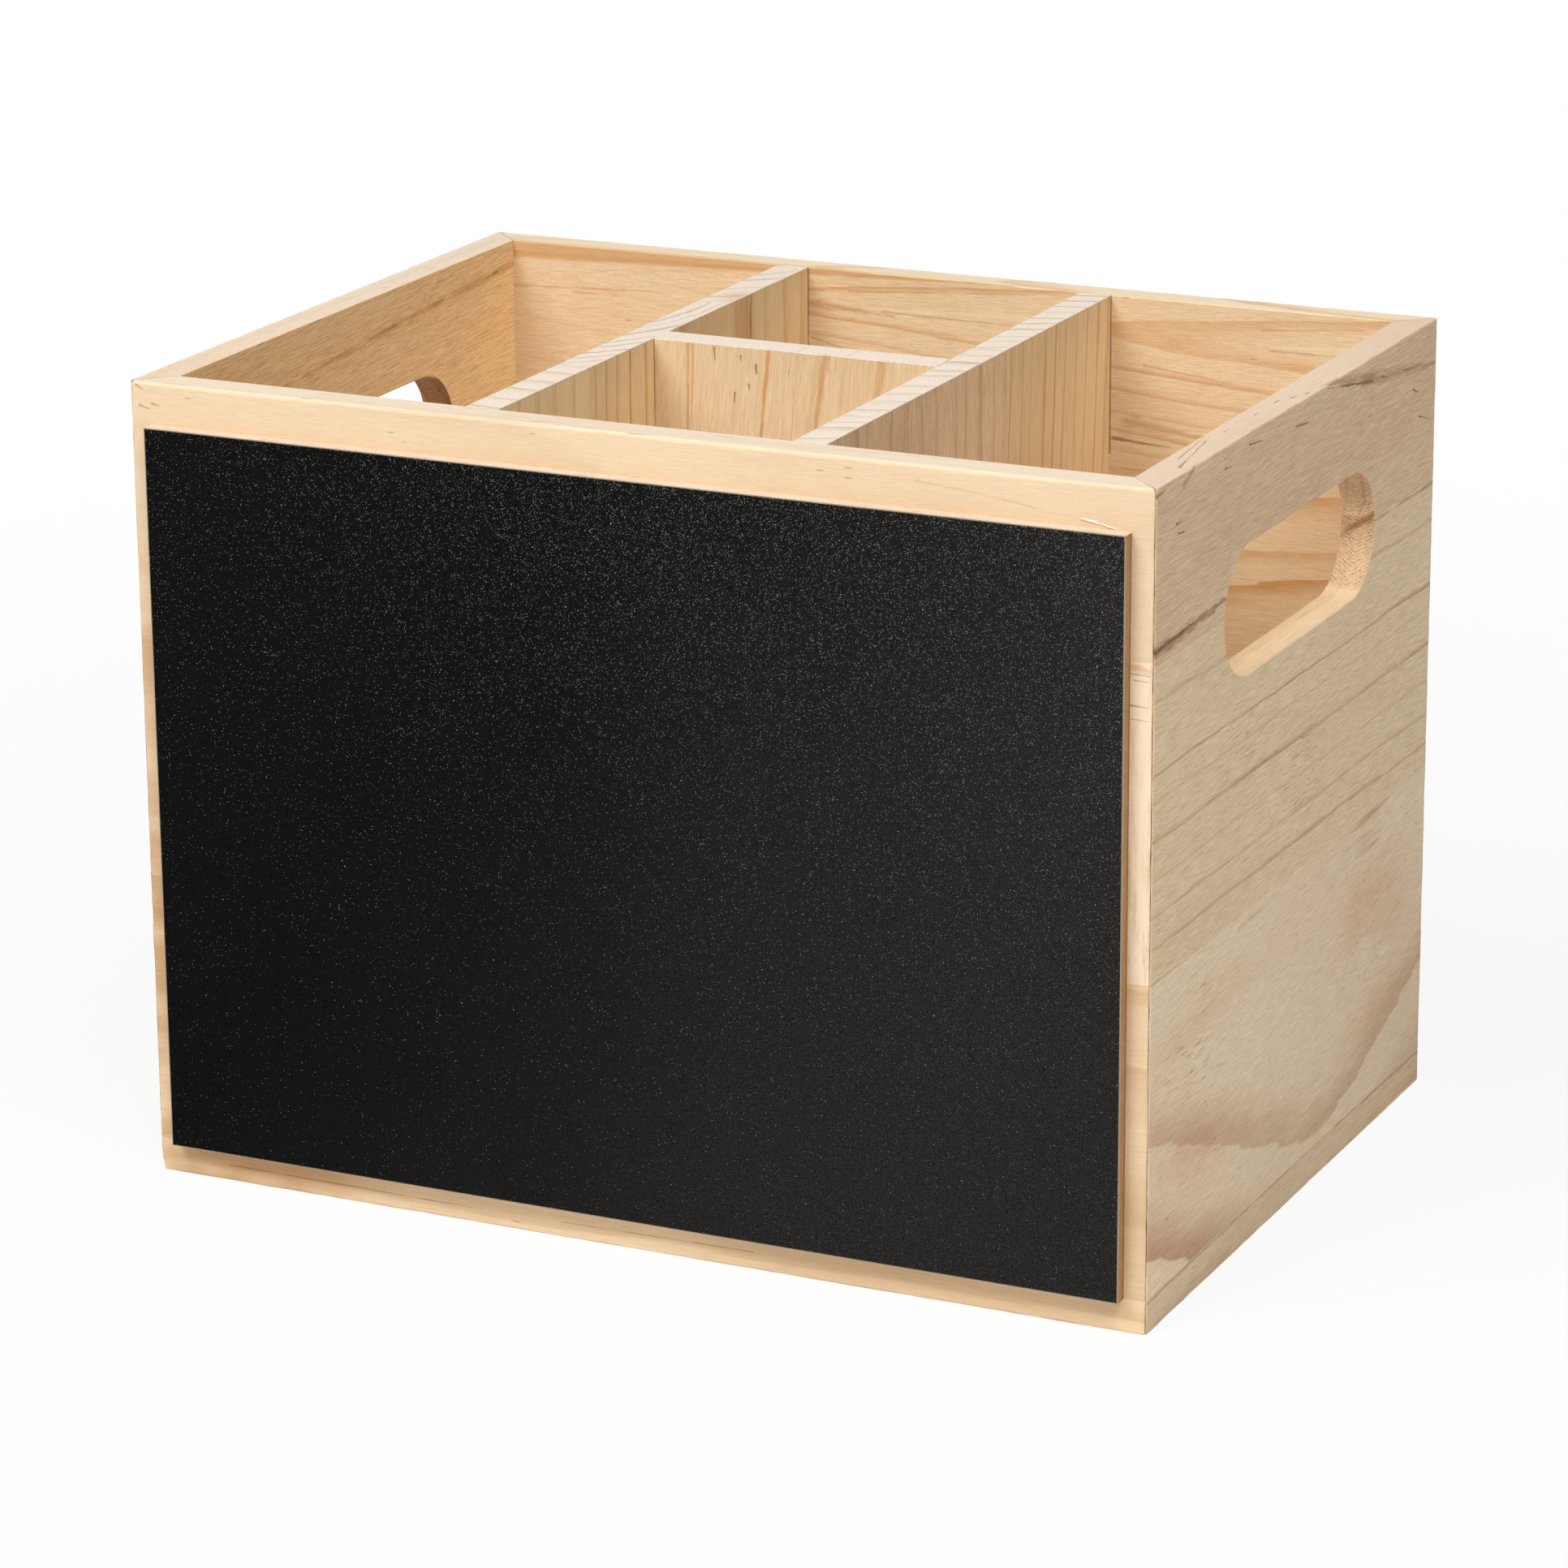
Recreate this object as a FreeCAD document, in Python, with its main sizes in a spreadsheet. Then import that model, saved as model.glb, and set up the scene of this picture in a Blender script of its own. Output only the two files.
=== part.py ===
import FreeCAD, Part
import math
import os
import Sketcher

# Table caddy for cutlery: an open pine box with mitred corners, two full-depth dividers and a
# cross divider, hand-holds through both side walls and a chalkboard glued on the front.
# Frame: origin under the middle of the whole object, +X to the right, +Y to the back, +Z up.

SIZES = (
    ("box_width", 250.0, "outside width of the wooden box"),
    ("box_depth", 179.0, "outside depth of the wooden box, without the chalkboard"),
    ("box_height", 190.8, "height of the walls from the table to the rim"),
    ("wall_thickness", 8.3, "thickness of the four wall boards"),
    ("corner_round", 1.0, "radius worn on the upright corners"),
    ("arris_round", 0.6, "radius sanded on the long edges of the walls"),
    ("slot_length", 96.0, "length of a hand-hold"),
    ("slot_height", 30.0, "height of a hand-hold, and the diameter of its round ends"),
    ("slot_drop", 25.0, "wood left between the rim and a hand-hold"),
    ("slot_round", 0.4, "radius sanded round the mouths of a hand-hold"),
    ("base_lift", 5.0, "height of the underside of the base above the table"),
    ("base_thickness", 3.6, "thickness of the plywood base"),
    ("groove_depth", 4.0, "depth of the groove that holds the base"),
    ("groove_clearance", 0.2, "play above the base in its groove"),
    ("base_edge_gap", 0.3, "play between the edge of the base and the bottom of the groove"),
    ("divider_thickness", 8.2, "thickness of the three divider boards"),
    ("divider_round", 0.3, "radius sanded on the top edges of the dividers"),
    ("left_bay_width", 73.5, "clear width of the left compartment"),
    ("right_bay_width", 71.5, "clear width of the right compartment"),
    ("front_bay_depth", 77.4, "clear depth of the front middle compartment"),
    ("panel_thickness", 3.2, "thickness of the chalkboard's fibreboard"),
    ("film_thickness", 0.25, "thickness of the chalkboard's black writing film"),
    ("panel_side_margin", 5.4, "wood showing beside the chalkboard"),
    ("panel_top_margin", 9.8, "wood showing above the chalkboard"),
    ("panel_bottom_margin", 7.9, "wood showing below the chalkboard"),
)

# Sizes that follow from the sheet, as expressions on its cells.
INNER_WIDTH = "(Sizes.box_width - 2 * Sizes.wall_thickness)"
INNER_DEPTH = "(Sizes.box_depth - 2 * Sizes.wall_thickness)"
FLOOR = "(Sizes.base_lift + Sizes.base_thickness)"
GROOVE_HEIGHT = "(Sizes.base_thickness + Sizes.groove_clearance)"
BASE_REACH = "(Sizes.groove_depth - Sizes.base_edge_gap)"
BOARD_STACK = "(Sizes.panel_thickness + Sizes.film_thickness)"
BOX_MIDDLE = f"({BOARD_STACK} / 2)"
FRONT_FACE = f"({BOX_MIDDLE} - Sizes.box_depth / 2)"
DIVIDER_HEIGHT = f"(Sizes.box_height - {FLOOR})"
LEFT_DIVIDER_X = f"(Sizes.left_bay_width + (Sizes.divider_thickness - {INNER_WIDTH}) / 2)"
RIGHT_DIVIDER_X = f"(({INNER_WIDTH} - Sizes.divider_thickness) / 2 - Sizes.right_bay_width)"
MIDDLE_BAY_WIDTH = f"({RIGHT_DIVIDER_X} - {LEFT_DIVIDER_X} - Sizes.divider_thickness)"
PANEL_WIDTH = "(Sizes.box_width - 2 * Sizes.panel_side_margin)"
PANEL_HEIGHT = "(Sizes.box_height - Sizes.panel_top_margin - Sizes.panel_bottom_margin)"

# Angles, in degrees.
QUARTER_TURN = 90
MITRE_ANGLE = 45

# Quarter turns that carry a wall drawn at the front to its own side of the box.
WALL_TURNS = {"front_wall": 0, "right_wall": 1, "back_wall": 2, "left_wall": 3}
SIDE_WALLS = ("left_wall", "right_wall")

# An edge runs along its board if it crosses the board by less than this share of its run.
ALONG_BOARD_SHARE = 0.9
# Two places closer than this are one place.
SAME_PLACE = 1e-4

# The numbers by which a sketch knows the points of its lines and arcs, its axes and its origin.
START, END, CENTRE = 1, 2, 3
LEVEL_AXIS, UPRIGHT_AXIS = -1, -2
ORIGIN = (LEVEL_AXIS, START)

doc = FreeCAD.newDocument("cutlery_caddy")
sheet = doc.addObject("Spreadsheet::Sheet", "Sizes")
for row, (alias, value, note) in enumerate(SIZES, 1):
    sheet.set(f"A{row}", alias)
    sheet.set(f"B{row}", str(value))
    sheet.setAlias(f"B{row}", alias)
    sheet.set(f"C{row}", note)
doc.recompute()


def size(expression):
    """The present value, in millimetres, of an expression on the sheet."""
    return float(sheet.evalExpression(expression.replace("Sizes.", "")))


def new_body(name, x="0", y="0", z="0", turns=0):
    """A body whose local origin stands at (x, y, z), quarter-turned about the upright axis."""
    body = doc.addObject("PartDesign::Body", name)
    body.Label = name
    body.Placement.Rotation = FreeCAD.Rotation(FreeCAD.Vector(0, 0, 1), turns * QUARTER_TURN)
    for axis, expression in zip("xyz", (x, y, z)):
        body.setExpression(f"Placement.Base.{axis}", expression)
    return body


def new_sketch(body, name, plane, lift="0"):
    """A sketch on one of the body's own planes, shifted by lift along the sketch's second axis."""
    sketch = body.newObject("Sketcher::SketchObject", f"{body.Name}_{name}")
    origin_plane = [part for part in body.Origin.OriginFeatures if part.Role == plane][0]
    sketch.AttachmentSupport = [(origin_plane, "")]
    sketch.MapMode = "FlatFace"
    sketch.setExpression("AttachmentOffset.Base.y", lift)
    return sketch


def constrain(sketch, kind, *where):
    sketch.addConstraint(Sketcher.Constraint(kind, *where))


def dimension(sketch, name, kind, *where, is_now):
    """A named dimension bound to an expression on the sheet."""
    index = sketch.addConstraint(Sketcher.Constraint(kind, *where, size(is_now)))
    sketch.renameConstraint(index, name)
    sketch.setExpression(f"Constraints.{name}", is_now)


def draw_rectangle(sketch, width, height):
    """A rectangle centred on the sketch's origin."""
    half_width, half_height = size(width) / 2, size(height) / 2
    corners = [
        FreeCAD.Vector(-half_width, -half_height, 0),
        FreeCAD.Vector(half_width, -half_height, 0),
        FreeCAD.Vector(half_width, half_height, 0),
        FreeCAD.Vector(-half_width, half_height, 0),
    ]
    sides = []
    for first, second in zip(corners, corners[1:] + corners[:1]):
        sides.append(sketch.addGeometry(Part.LineSegment(first, second)))
    bottom, right, top, left = sides
    for side, following in zip(sides, sides[1:] + sides[:1]):
        constrain(sketch, "Coincident", side, END, following, START)
    constrain(sketch, "Horizontal", bottom)
    constrain(sketch, "Horizontal", top)
    constrain(sketch, "Vertical", right)
    constrain(sketch, "Vertical", left)
    constrain(sketch, "Symmetric", bottom, START, right, END, *ORIGIN)
    dimension(sketch, "width", "DistanceX", bottom, START, bottom, END, is_now=width)
    dimension(sketch, "height", "DistanceY", right, START, right, END, is_now=height)


def arc(centre, radius, first_angle, sweep):
    """An arc that turns to the left from its first angle."""
    circle = Part.Circle(centre, FreeCAD.Vector(0, 0, 1), radius)
    return Part.ArcOfCircle(circle, math.radians(first_angle), math.radians(first_angle + sweep))


def draw_stadium(sketch, length, height):
    """A slot with round ends, centred on the sketch's origin."""
    radius = size(height) / 2
    reach = size(length) / 2 - radius
    right_centre = FreeCAD.Vector(reach, 0, 0)
    left_centre = FreeCAD.Vector(-reach, 0, 0)
    down = FreeCAD.Vector(0, -radius, 0)
    bottom = sketch.addGeometry(Part.LineSegment(left_centre + down, right_centre + down))
    right = sketch.addGeometry(arc(right_centre, radius, -QUARTER_TURN, 2 * QUARTER_TURN))
    top = sketch.addGeometry(Part.LineSegment(right_centre - down, left_centre - down))
    left = sketch.addGeometry(arc(left_centre, radius, QUARTER_TURN, 2 * QUARTER_TURN))
    outline = (bottom, right, top, left)
    for side, following in zip(outline, outline[1:] + outline[:1]):
        constrain(sketch, "Tangent", side, END, following, START)
    constrain(sketch, "Horizontal", bottom)
    constrain(sketch, "PointOnObject", right, CENTRE, LEVEL_AXIS)
    constrain(sketch, "Symmetric", left, CENTRE, right, CENTRE, *ORIGIN)
    dimension(sketch, "end_radius", "Radius", right, is_now=f"{height} / 2")
    dimension(sketch, "straight", "DistanceX", left, CENTRE, right, CENTRE,
              is_now=f"{length} - {height}")


def draw_mitred_board(sketch, run, offset):
    """Plan of a wall: its outer face at -offset/2, both ends mitred, outer corners rounded."""
    half_run, face = size(run) / 2, -size(offset) / 2
    wall, worn = size("Sizes.wall_thickness"), size("Sizes.corner_round")
    right_centre = FreeCAD.Vector(half_run - worn, face + worn, 0)
    left_centre = FreeCAD.Vector(worn - half_run, face + worn, 0)
    right_arc = arc(right_centre, worn, -QUARTER_TURN, MITRE_ANGLE)
    left_arc = arc(left_centre, worn, -QUARTER_TURN - MITRE_ANGLE, MITRE_ANGLE)
    inner_right = FreeCAD.Vector(half_run - wall, face + wall, 0)
    inner_left = FreeCAD.Vector(wall - half_run, face + wall, 0)
    outer = sketch.addGeometry(Part.LineSegment(left_arc.EndPoint, right_arc.StartPoint))
    right_corner = sketch.addGeometry(right_arc)
    right_mitre = sketch.addGeometry(Part.LineSegment(right_arc.EndPoint, inner_right))
    inner = sketch.addGeometry(Part.LineSegment(inner_right, inner_left))
    left_mitre = sketch.addGeometry(Part.LineSegment(inner_left, left_arc.StartPoint))
    left_corner = sketch.addGeometry(left_arc)
    constrain(sketch, "Tangent", outer, END, right_corner, START)
    constrain(sketch, "Coincident", right_corner, END, right_mitre, START)
    constrain(sketch, "Coincident", right_mitre, END, inner, START)
    constrain(sketch, "Coincident", inner, END, left_mitre, START)
    constrain(sketch, "Coincident", left_mitre, END, left_corner, START)
    constrain(sketch, "Tangent", left_corner, END, outer, START)
    constrain(sketch, "Horizontal", outer)
    constrain(sketch, "Symmetric", inner, END, inner, START, UPRIGHT_AXIS)
    constrain(sketch, "PointOnObject", right_corner, CENTRE, right_mitre)
    constrain(sketch, "PointOnObject", left_corner, CENTRE, left_mitre)
    constrain(sketch, "Equal", right_corner, left_corner)
    dimension(sketch, "worn", "Radius", right_corner, is_now="Sizes.corner_round")
    dimension(sketch, "inner_run", "DistanceX", inner, END, inner, START,
              is_now=f"{run} - 2 * Sizes.wall_thickness")
    dimension(sketch, "thickness", "DistanceY", outer, START, inner, END,
              is_now="Sizes.wall_thickness")
    dimension(sketch, "face", "DistanceY", outer, START, *ORIGIN, is_now=f"{offset} / 2")
    dimension(sketch, "right_reach", "DistanceX", *ORIGIN, right_corner, CENTRE,
              is_now=f"{run} / 2 - Sizes.corner_round")
    dimension(sketch, "left_reach", "DistanceX", left_corner, CENTRE, *ORIGIN,
              is_now=f"{run} / 2 - Sizes.corner_round")


def pad(body, sketch, length):
    feature = body.newObject("PartDesign::Pad", f"{sketch.Name}_pad")
    feature.Profile = sketch
    feature.setExpression("Length", length)
    doc.recompute()
    return feature


def pocket(body, sketch, length):
    """A cut from the sketch's plane towards the outer face of the board."""
    whole = body.Shape.Volume
    feature = body.newObject("PartDesign::Pocket", f"{sketch.Name}_pocket")
    feature.Profile = sketch
    feature.Reversed = True
    feature.setExpression("Length", length)
    doc.recompute()
    if not body.Shape.Volume < whole:
        raise RuntimeError(f"{feature.Name} cuts nothing")
    return feature


def round_edges(body, name, radius, chosen):
    """A fillet on the edges of the body that the test picks out."""
    base = body.Tip
    names = [f"Edge{n}" for n, edge in enumerate(base.Shape.Edges, 1) if chosen(edge)]
    feature = body.newObject("PartDesign::Fillet", f"{body.Name}_{name}")
    feature.Base = (base, names)
    feature.setExpression("Radius", radius)
    doc.recompute()
    print(f"{feature.Name}: {len(names)} edges")
    return feature


def lies_level(edge, height):
    box = edge.BoundBox
    return abs(box.ZMin - height) < SAME_PLACE and abs(box.ZMax - height) < SAME_PLACE


def runs_along(edge):
    return edge.BoundBox.YLength < edge.BoundBox.XLength * ALONG_BOARD_SHARE


def lies_upright(edge, place):
    box = edge.BoundBox
    return abs(box.YMin - place) < SAME_PLACE and abs(box.YMax - place) < SAME_PLACE


def build_wall(name):
    """One of the four boards, mitred at both ends and grooved inside for the base."""
    side = name in SIDE_WALLS
    run = "Sizes.box_depth" if side else "Sizes.box_width"
    offset = "Sizes.box_width" if side else "Sizes.box_depth"
    body = new_body(name, y=BOX_MIDDLE, turns=WALL_TURNS[name])
    plan = new_sketch(body, "plan", "XY_Plane")
    draw_mitred_board(plan, run, offset)
    pad(body, plan, "Sizes.box_height")
    groove_middle = f"Sizes.base_lift + {GROOVE_HEIGHT} / 2"
    groove = new_sketch(body, "groove", "XZ_Plane", lift=groove_middle)
    draw_rectangle(groove, run, GROOVE_HEIGHT)
    pocket(body, groove, f"{offset} / 2 - Sizes.wall_thickness + Sizes.groove_depth")
    top, face = size("Sizes.box_height"), -size(offset) / 2
    inside = face + size("Sizes.wall_thickness")
    if side:
        slot_middle = "Sizes.box_height - Sizes.slot_drop - Sizes.slot_height / 2"
        slot = new_sketch(body, "hand_hold", "XZ_Plane", lift=slot_middle)
        draw_stadium(slot, "Sizes.slot_length", "Sizes.slot_height")
        pocket(body, slot, f"{offset} / 2 + Sizes.wall_thickness")
        low = top - size("Sizes.slot_drop + Sizes.slot_height") - SAME_PLACE
        high = top - size("Sizes.slot_drop") + SAME_PLACE

        def on_slot_mouth(edge):
            at_a_face = lies_upright(edge, face) or lies_upright(edge, inside)
            return at_a_face and edge.BoundBox.ZMin > low and edge.BoundBox.ZMax < high

        round_edges(body, "mouths", "Sizes.slot_round", on_slot_mouth)

    def on_long_arris(edge):
        outside_bottom = lies_level(edge, 0) and edge.BoundBox.YMax < inside - SAME_PLACE
        return runs_along(edge) and (lies_level(edge, top) or outside_bottom)

    round_edges(body, "arrises", "Sizes.arris_round", on_long_arris)
    return body


def build_base():
    """The plywood floor, held by its edges in the grooves of the four walls."""
    body = new_body("base_panel", y=BOX_MIDDLE, z="Sizes.base_lift")
    plan = new_sketch(body, "plan", "XY_Plane")
    draw_rectangle(plan, f"{INNER_WIDTH} + 2 * {BASE_REACH}", f"{INNER_DEPTH} + 2 * {BASE_REACH}")
    pad(body, plan, "Sizes.base_thickness")
    return body


def build_divider(name, x, y, width, depth):
    """An upright board that stands on the base and ends flush with the rim."""
    body = new_body(name, x=x, y=y, z=FLOOR)
    plan = new_sketch(body, "plan", "XY_Plane")
    draw_rectangle(plan, width, depth)
    pad(body, plan, DIVIDER_HEIGHT)
    top = size(DIVIDER_HEIGHT)
    long_side = max(size(width), size(depth)) - SAME_PLACE
    round_edges(body, "arrises", "Sizes.divider_round",
                lambda edge: lies_level(edge, top) and edge.Length > long_side)
    return body


def build_dividers():
    thickness = "Sizes.divider_thickness"
    cross_x = f"({LEFT_DIVIDER_X} + {RIGHT_DIVIDER_X}) / 2"
    cross_y = f"{FRONT_FACE} + Sizes.wall_thickness + Sizes.front_bay_depth + {thickness} / 2"
    return [
        build_divider("left_divider", LEFT_DIVIDER_X, BOX_MIDDLE, thickness, INNER_DEPTH),
        build_divider("right_divider", RIGHT_DIVIDER_X, BOX_MIDDLE, thickness, INNER_DEPTH),
        build_divider("cross_divider", cross_x, cross_y, MIDDLE_BAY_WIDTH, thickness),
    ]


def build_front_sheet(name, back_face, thickness):
    """A sheet as large as the chalkboard, laid on the front with its back at back_face."""
    middle = f"Sizes.panel_bottom_margin + {PANEL_HEIGHT} / 2"
    body = new_body(name, y=back_face, z=middle)
    outline = new_sketch(body, "outline", "XZ_Plane")
    draw_rectangle(outline, PANEL_WIDTH, PANEL_HEIGHT)
    pad(body, outline, thickness)
    return body


def build_chalkboard():
    film_back = f"{FRONT_FACE} - Sizes.panel_thickness"
    return [
        build_front_sheet("chalkboard_panel", FRONT_FACE, "Sizes.panel_thickness"),
        build_front_sheet("chalkboard_film", film_back, "Sizes.film_thickness"),
    ]


def check_document(bodies):
    """Stop before anything is written if a feature failed or a piece isn't one sound solid."""
    for item in doc.Objects:
        if "Invalid" in item.State or "Error" in item.State:
            raise RuntimeError(f"{item.Name} failed: {item.State}")
        if item.isDerivedFrom("Sketcher::SketchObject") and not item.FullyConstrained:
            raise RuntimeError(f"{item.Name} isn't fully constrained")
    for body in bodies:
        shape = body.Shape
        if shape.isNull() or not shape.isValid() or len(shape.Solids) != 1:
            raise RuntimeError(f"{body.Label} isn't one valid solid")


walls = [build_wall(name) for name in WALL_TURNS]
pieces = walls + [build_base()] + build_dividers() + build_chalkboard()
doc.recompute()
check_document(pieces)
os.makedirs("parts", exist_ok=True)
for piece in pieces:
    box = piece.Shape.BoundBox
    piece.Shape.exportStep(f"parts/{piece.Label}.step")
    print(f"{piece.Label}: {piece.Shape.Volume:.0f} mm3,",
          f"x {box.XMin:.2f} {box.XMax:.2f},",
          f"y {box.YMin:.2f} {box.YMax:.2f},",
          f"z {box.ZMin:.2f} {box.ZMax:.2f}")
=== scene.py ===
# %% [markdown]
# # A pine cutlery caddy with a chalkboard front
# The real object is a glued box: four mitred pine walls, three upright pine dividers, a thin floor
# and a black writing board on the front. The frame that is loaded here already has the right size,
# so this lesson only gives each board what a maker's hand and saw leave on it, and a finish.

# %% Load the fixed frame
import math
import bmesh
import bpy
from mathutils import Euler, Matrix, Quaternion, Vector


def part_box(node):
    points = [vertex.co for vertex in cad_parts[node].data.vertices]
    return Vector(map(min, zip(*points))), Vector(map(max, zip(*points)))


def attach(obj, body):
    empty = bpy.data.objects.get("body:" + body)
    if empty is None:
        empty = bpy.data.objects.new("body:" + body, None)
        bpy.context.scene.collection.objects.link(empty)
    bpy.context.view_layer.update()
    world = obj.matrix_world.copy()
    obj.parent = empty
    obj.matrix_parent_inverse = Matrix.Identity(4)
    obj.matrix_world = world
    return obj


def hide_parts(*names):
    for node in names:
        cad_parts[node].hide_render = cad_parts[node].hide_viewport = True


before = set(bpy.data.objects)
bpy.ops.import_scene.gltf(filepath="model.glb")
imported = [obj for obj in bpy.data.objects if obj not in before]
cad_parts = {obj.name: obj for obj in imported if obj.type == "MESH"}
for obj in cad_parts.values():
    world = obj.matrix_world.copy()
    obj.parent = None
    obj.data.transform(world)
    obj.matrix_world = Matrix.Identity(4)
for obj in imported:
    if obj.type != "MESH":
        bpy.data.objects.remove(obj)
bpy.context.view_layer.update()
MM = 0.001
UP = (0, 0, 1)
print("frame nodes:", sorted(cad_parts))

# %% [markdown]
# ## Camera
# The photo was taken from the front right, a little above the rim, with a long lens that keeps the
# upright edges nearly parallel. A camera is aimed by turning its -Z axis along the line to the
# target, and the small roll is added about that same axis.

# %% Set up the camera
EYE = Vector((561.2, -1191.5, 493.4)) * MM
TARGET = Vector((0.0, -6.7, 87.8)) * MM
ROLL = math.radians(-0.42)
SENSOR_MM, LENS_MM = 36.0, 134.08
NEAREST = 0.05
bpy.ops.object.select_all(action="DESELECT")
bpy.ops.object.camera_add(location=EYE)
camera = bpy.context.object
camera.name = "photo_camera"
aim = (TARGET - EYE).to_track_quat("-Z", "Y") @ Quaternion(UP, ROLL)
camera.rotation_euler = aim.to_euler()
camera.data.sensor_width = SENSOR_MM
camera.data.lens = LENS_MM
camera.data.clip_start = NEAREST
bpy.context.scene.camera = camera
print("camera turned by", [round(math.degrees(a), 2) for a in camera.rotation_euler])

# %% [markdown]
# ## Wires
# A finish is a small calculation: a place on the wood goes in and a colour comes out. In Blender each
# step of it is a node. A wire stands for what comes out of a node, and adding or multiplying wires
# places the node that does it, so the recipes further down read like plain arithmetic.

# %% Wires between nodes
OPERATORS = {"__add__": "ADD", "__sub__": "SUBTRACT", "__truediv__": "DIVIDE", "__pow__": "POWER",
             "__abs__": "ABSOLUTE", "__matmul__": "DOT_PRODUCT"}
NUMBER_RESULTS = ("LENGTH", "DOT_PRODUCT", "DISTANCE")


class Wire:
    """What comes out of a node: a number, a vector or a colour to reckon with."""

    def __init__(self, socket):
        self.socket, self.tree = socket, socket.id_data

    def __mul__(self, other):
        if has_parts(self) == has_parts(other):
            return reckon("MULTIPLY", self, other)
        vector, factor = (self, other) if has_parts(self) else (other, self)
        return wire(self.tree, "VectorMath", {0: vector, "Scale": factor}, operation="SCALE")

    __rmul__ = __mul__

    def __rsub__(self, other):
        return reckon("SUBTRACT", other, self)


for method, operation in OPERATORS.items():
    setattr(Wire, method, lambda *values, operation=operation: reckon(operation, *values))


def has_parts(value):
    """Whether a value is a vector or a colour, and not a single number."""
    return isinstance(value, tuple) or isinstance(value, Wire) and value.socket.type != "VALUE"


def put(tree, kind, inputs=None, **settings):
    """Adds a node, sets its options, then links or sets its inputs by name or number."""
    node = tree.nodes.new("ShaderNode" + kind)
    for option, value in settings.items():
        setattr(node, option, value)
    for label, value in (inputs or {}).items():
        if isinstance(value, Wire):
            tree.links.new(value.socket, node.inputs[label])
        else:
            node.inputs[label].default_value = value
    return node


def wire(tree, kind, inputs=None, output=0, **settings):
    """Adds a node and gives back one of its outputs."""
    return Wire(put(tree, kind, inputs, **settings).outputs[output])


def reckon(operation, *values):
    """The result of a Math node, or of a Vector Math node where a value has parts."""
    tree = next(value.tree for value in values if isinstance(value, Wire))
    in_parts = any(has_parts(value) for value in values)
    output = "Vector" if in_parts and operation not in NUMBER_RESULTS else "Value"
    return wire(tree, "VectorMath" if in_parts else "Math", dict(enumerate(values)), output,
                operation=operation)


print("wires ready")

# %% [markdown]
# Five kinds of node are all that the finishes need besides arithmetic: a smooth slide between two
# values, stretched noise, a pattern of cells, a mix of two colours, and the way a face looks.

# %% Helpers for patterns and colours
def ramp(value, start, end, low=0.0, high=1.0):
    """Slides smoothly from low to high while the value goes from start to end."""
    return wire(value.tree, "MapRange", {0: value, 1: start, 2: end, 3: low, 4: high},
                interpolation_type="SMOOTHSTEP")


def noise(point, waves, detail=2.0, roughness=0.5):
    """Noise from 0 to 1, with a number of waves per unit for each axis, or one for all."""
    return wire(point.tree, "TexNoise", {"Vector": point * waves, "Scale": 1.0, "Detail": detail,
                                         "Roughness": roughness})


def cells(point, scale=1.0):
    """A pattern of cells: a random number for each cell, and the distance from its middle."""
    pattern = put(point.tree, "TexVoronoi", {"Vector": point, "Scale": scale, "Randomness": 1.0})
    lot = wire(point.tree, "SeparateColor", {0: Wire(pattern.outputs["Color"])})
    return lot, Wire(pattern.outputs["Distance"])


def axes(point):
    """The X, Y and Z of a point."""
    return [Wire(socket) for socket in put(point.tree, "SeparateXYZ", {0: point}).outputs]


def blend(share, first, second):
    """Two colours mixed by a share."""
    return wire(share.tree, "Mix", {0: share, 6: first, 7: second}, output=2, data_type="RGBA")


def facing(point, direction):
    """How squarely a face looks in a direction: 1 fully, 0 across it, -1 away."""
    return wire(point.tree, "NewGeometry", output="Normal") @ direction


def srgb(red, green, blue):
    """A colour as read off a screen, turned into the linear numbers that shaders use."""
    def linear(c):
        c /= 255
        return c / 12.92 if c <= 0.04045 else ((c + 0.055) / 1.055) ** 2.4
    return (linear(red), linear(green), linear(blue), 1.0)


print("white is", srgb(255, 255, 255))

# %% [markdown]
# A recipe that is used often becomes a node group with named sockets, and a finish becomes a material
# with one shader. Fine relief, finer than a mesh could hold, is left to a Bump node.

# %% Helpers for groups and materials
def node_group(name, inputs, outputs, recipe):
    """A node group whose recipe gets a function for its inputs and returns a wire for each output."""
    tree = bpy.data.node_groups.new(name, "ShaderNodeTree")
    for label, kind, value in inputs:
        socket = tree.interface.new_socket(label, in_out="INPUT", socket_type="NodeSocket" + kind)
        if value is not None:
            socket.default_value = value
    for label, kind in outputs:
        tree.interface.new_socket(label, in_out="OUTPUT", socket_type="NodeSocket" + kind)
    start = tree.nodes.new("NodeGroupInput")
    end = tree.nodes.new("NodeGroupOutput")
    for (label, _), result in zip(outputs, recipe(lambda label: Wire(start.outputs[label]))):
        tree.links.new(result.socket, end.inputs[label])
    print(name, "has", len(tree.nodes), "nodes")
    return tree


def use_group(group, tree, inputs, *outputs):
    """Places a node group in a material and gives back the outputs that are named."""
    node = put(tree, "Group", inputs, node_tree=group)
    return [Wire(node.outputs[label]) for label in outputs]


def place_on(tree):
    """The place of a point on the object, in metres."""
    return wire(tree, "TexCoord", output="Object")


def new_material(name, roughness, specular):
    """A material with one Principled BSDF; gives back its shader and the place on the object too."""
    material = bpy.data.materials.new(name)
    material.use_nodes = True
    shader = material.node_tree.nodes["Principled BSDF"]
    shader.inputs["Roughness"].default_value = roughness
    shader.inputs["Specular IOR Level"].default_value = specular
    return material, shader, place_on(material.node_tree)


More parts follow.
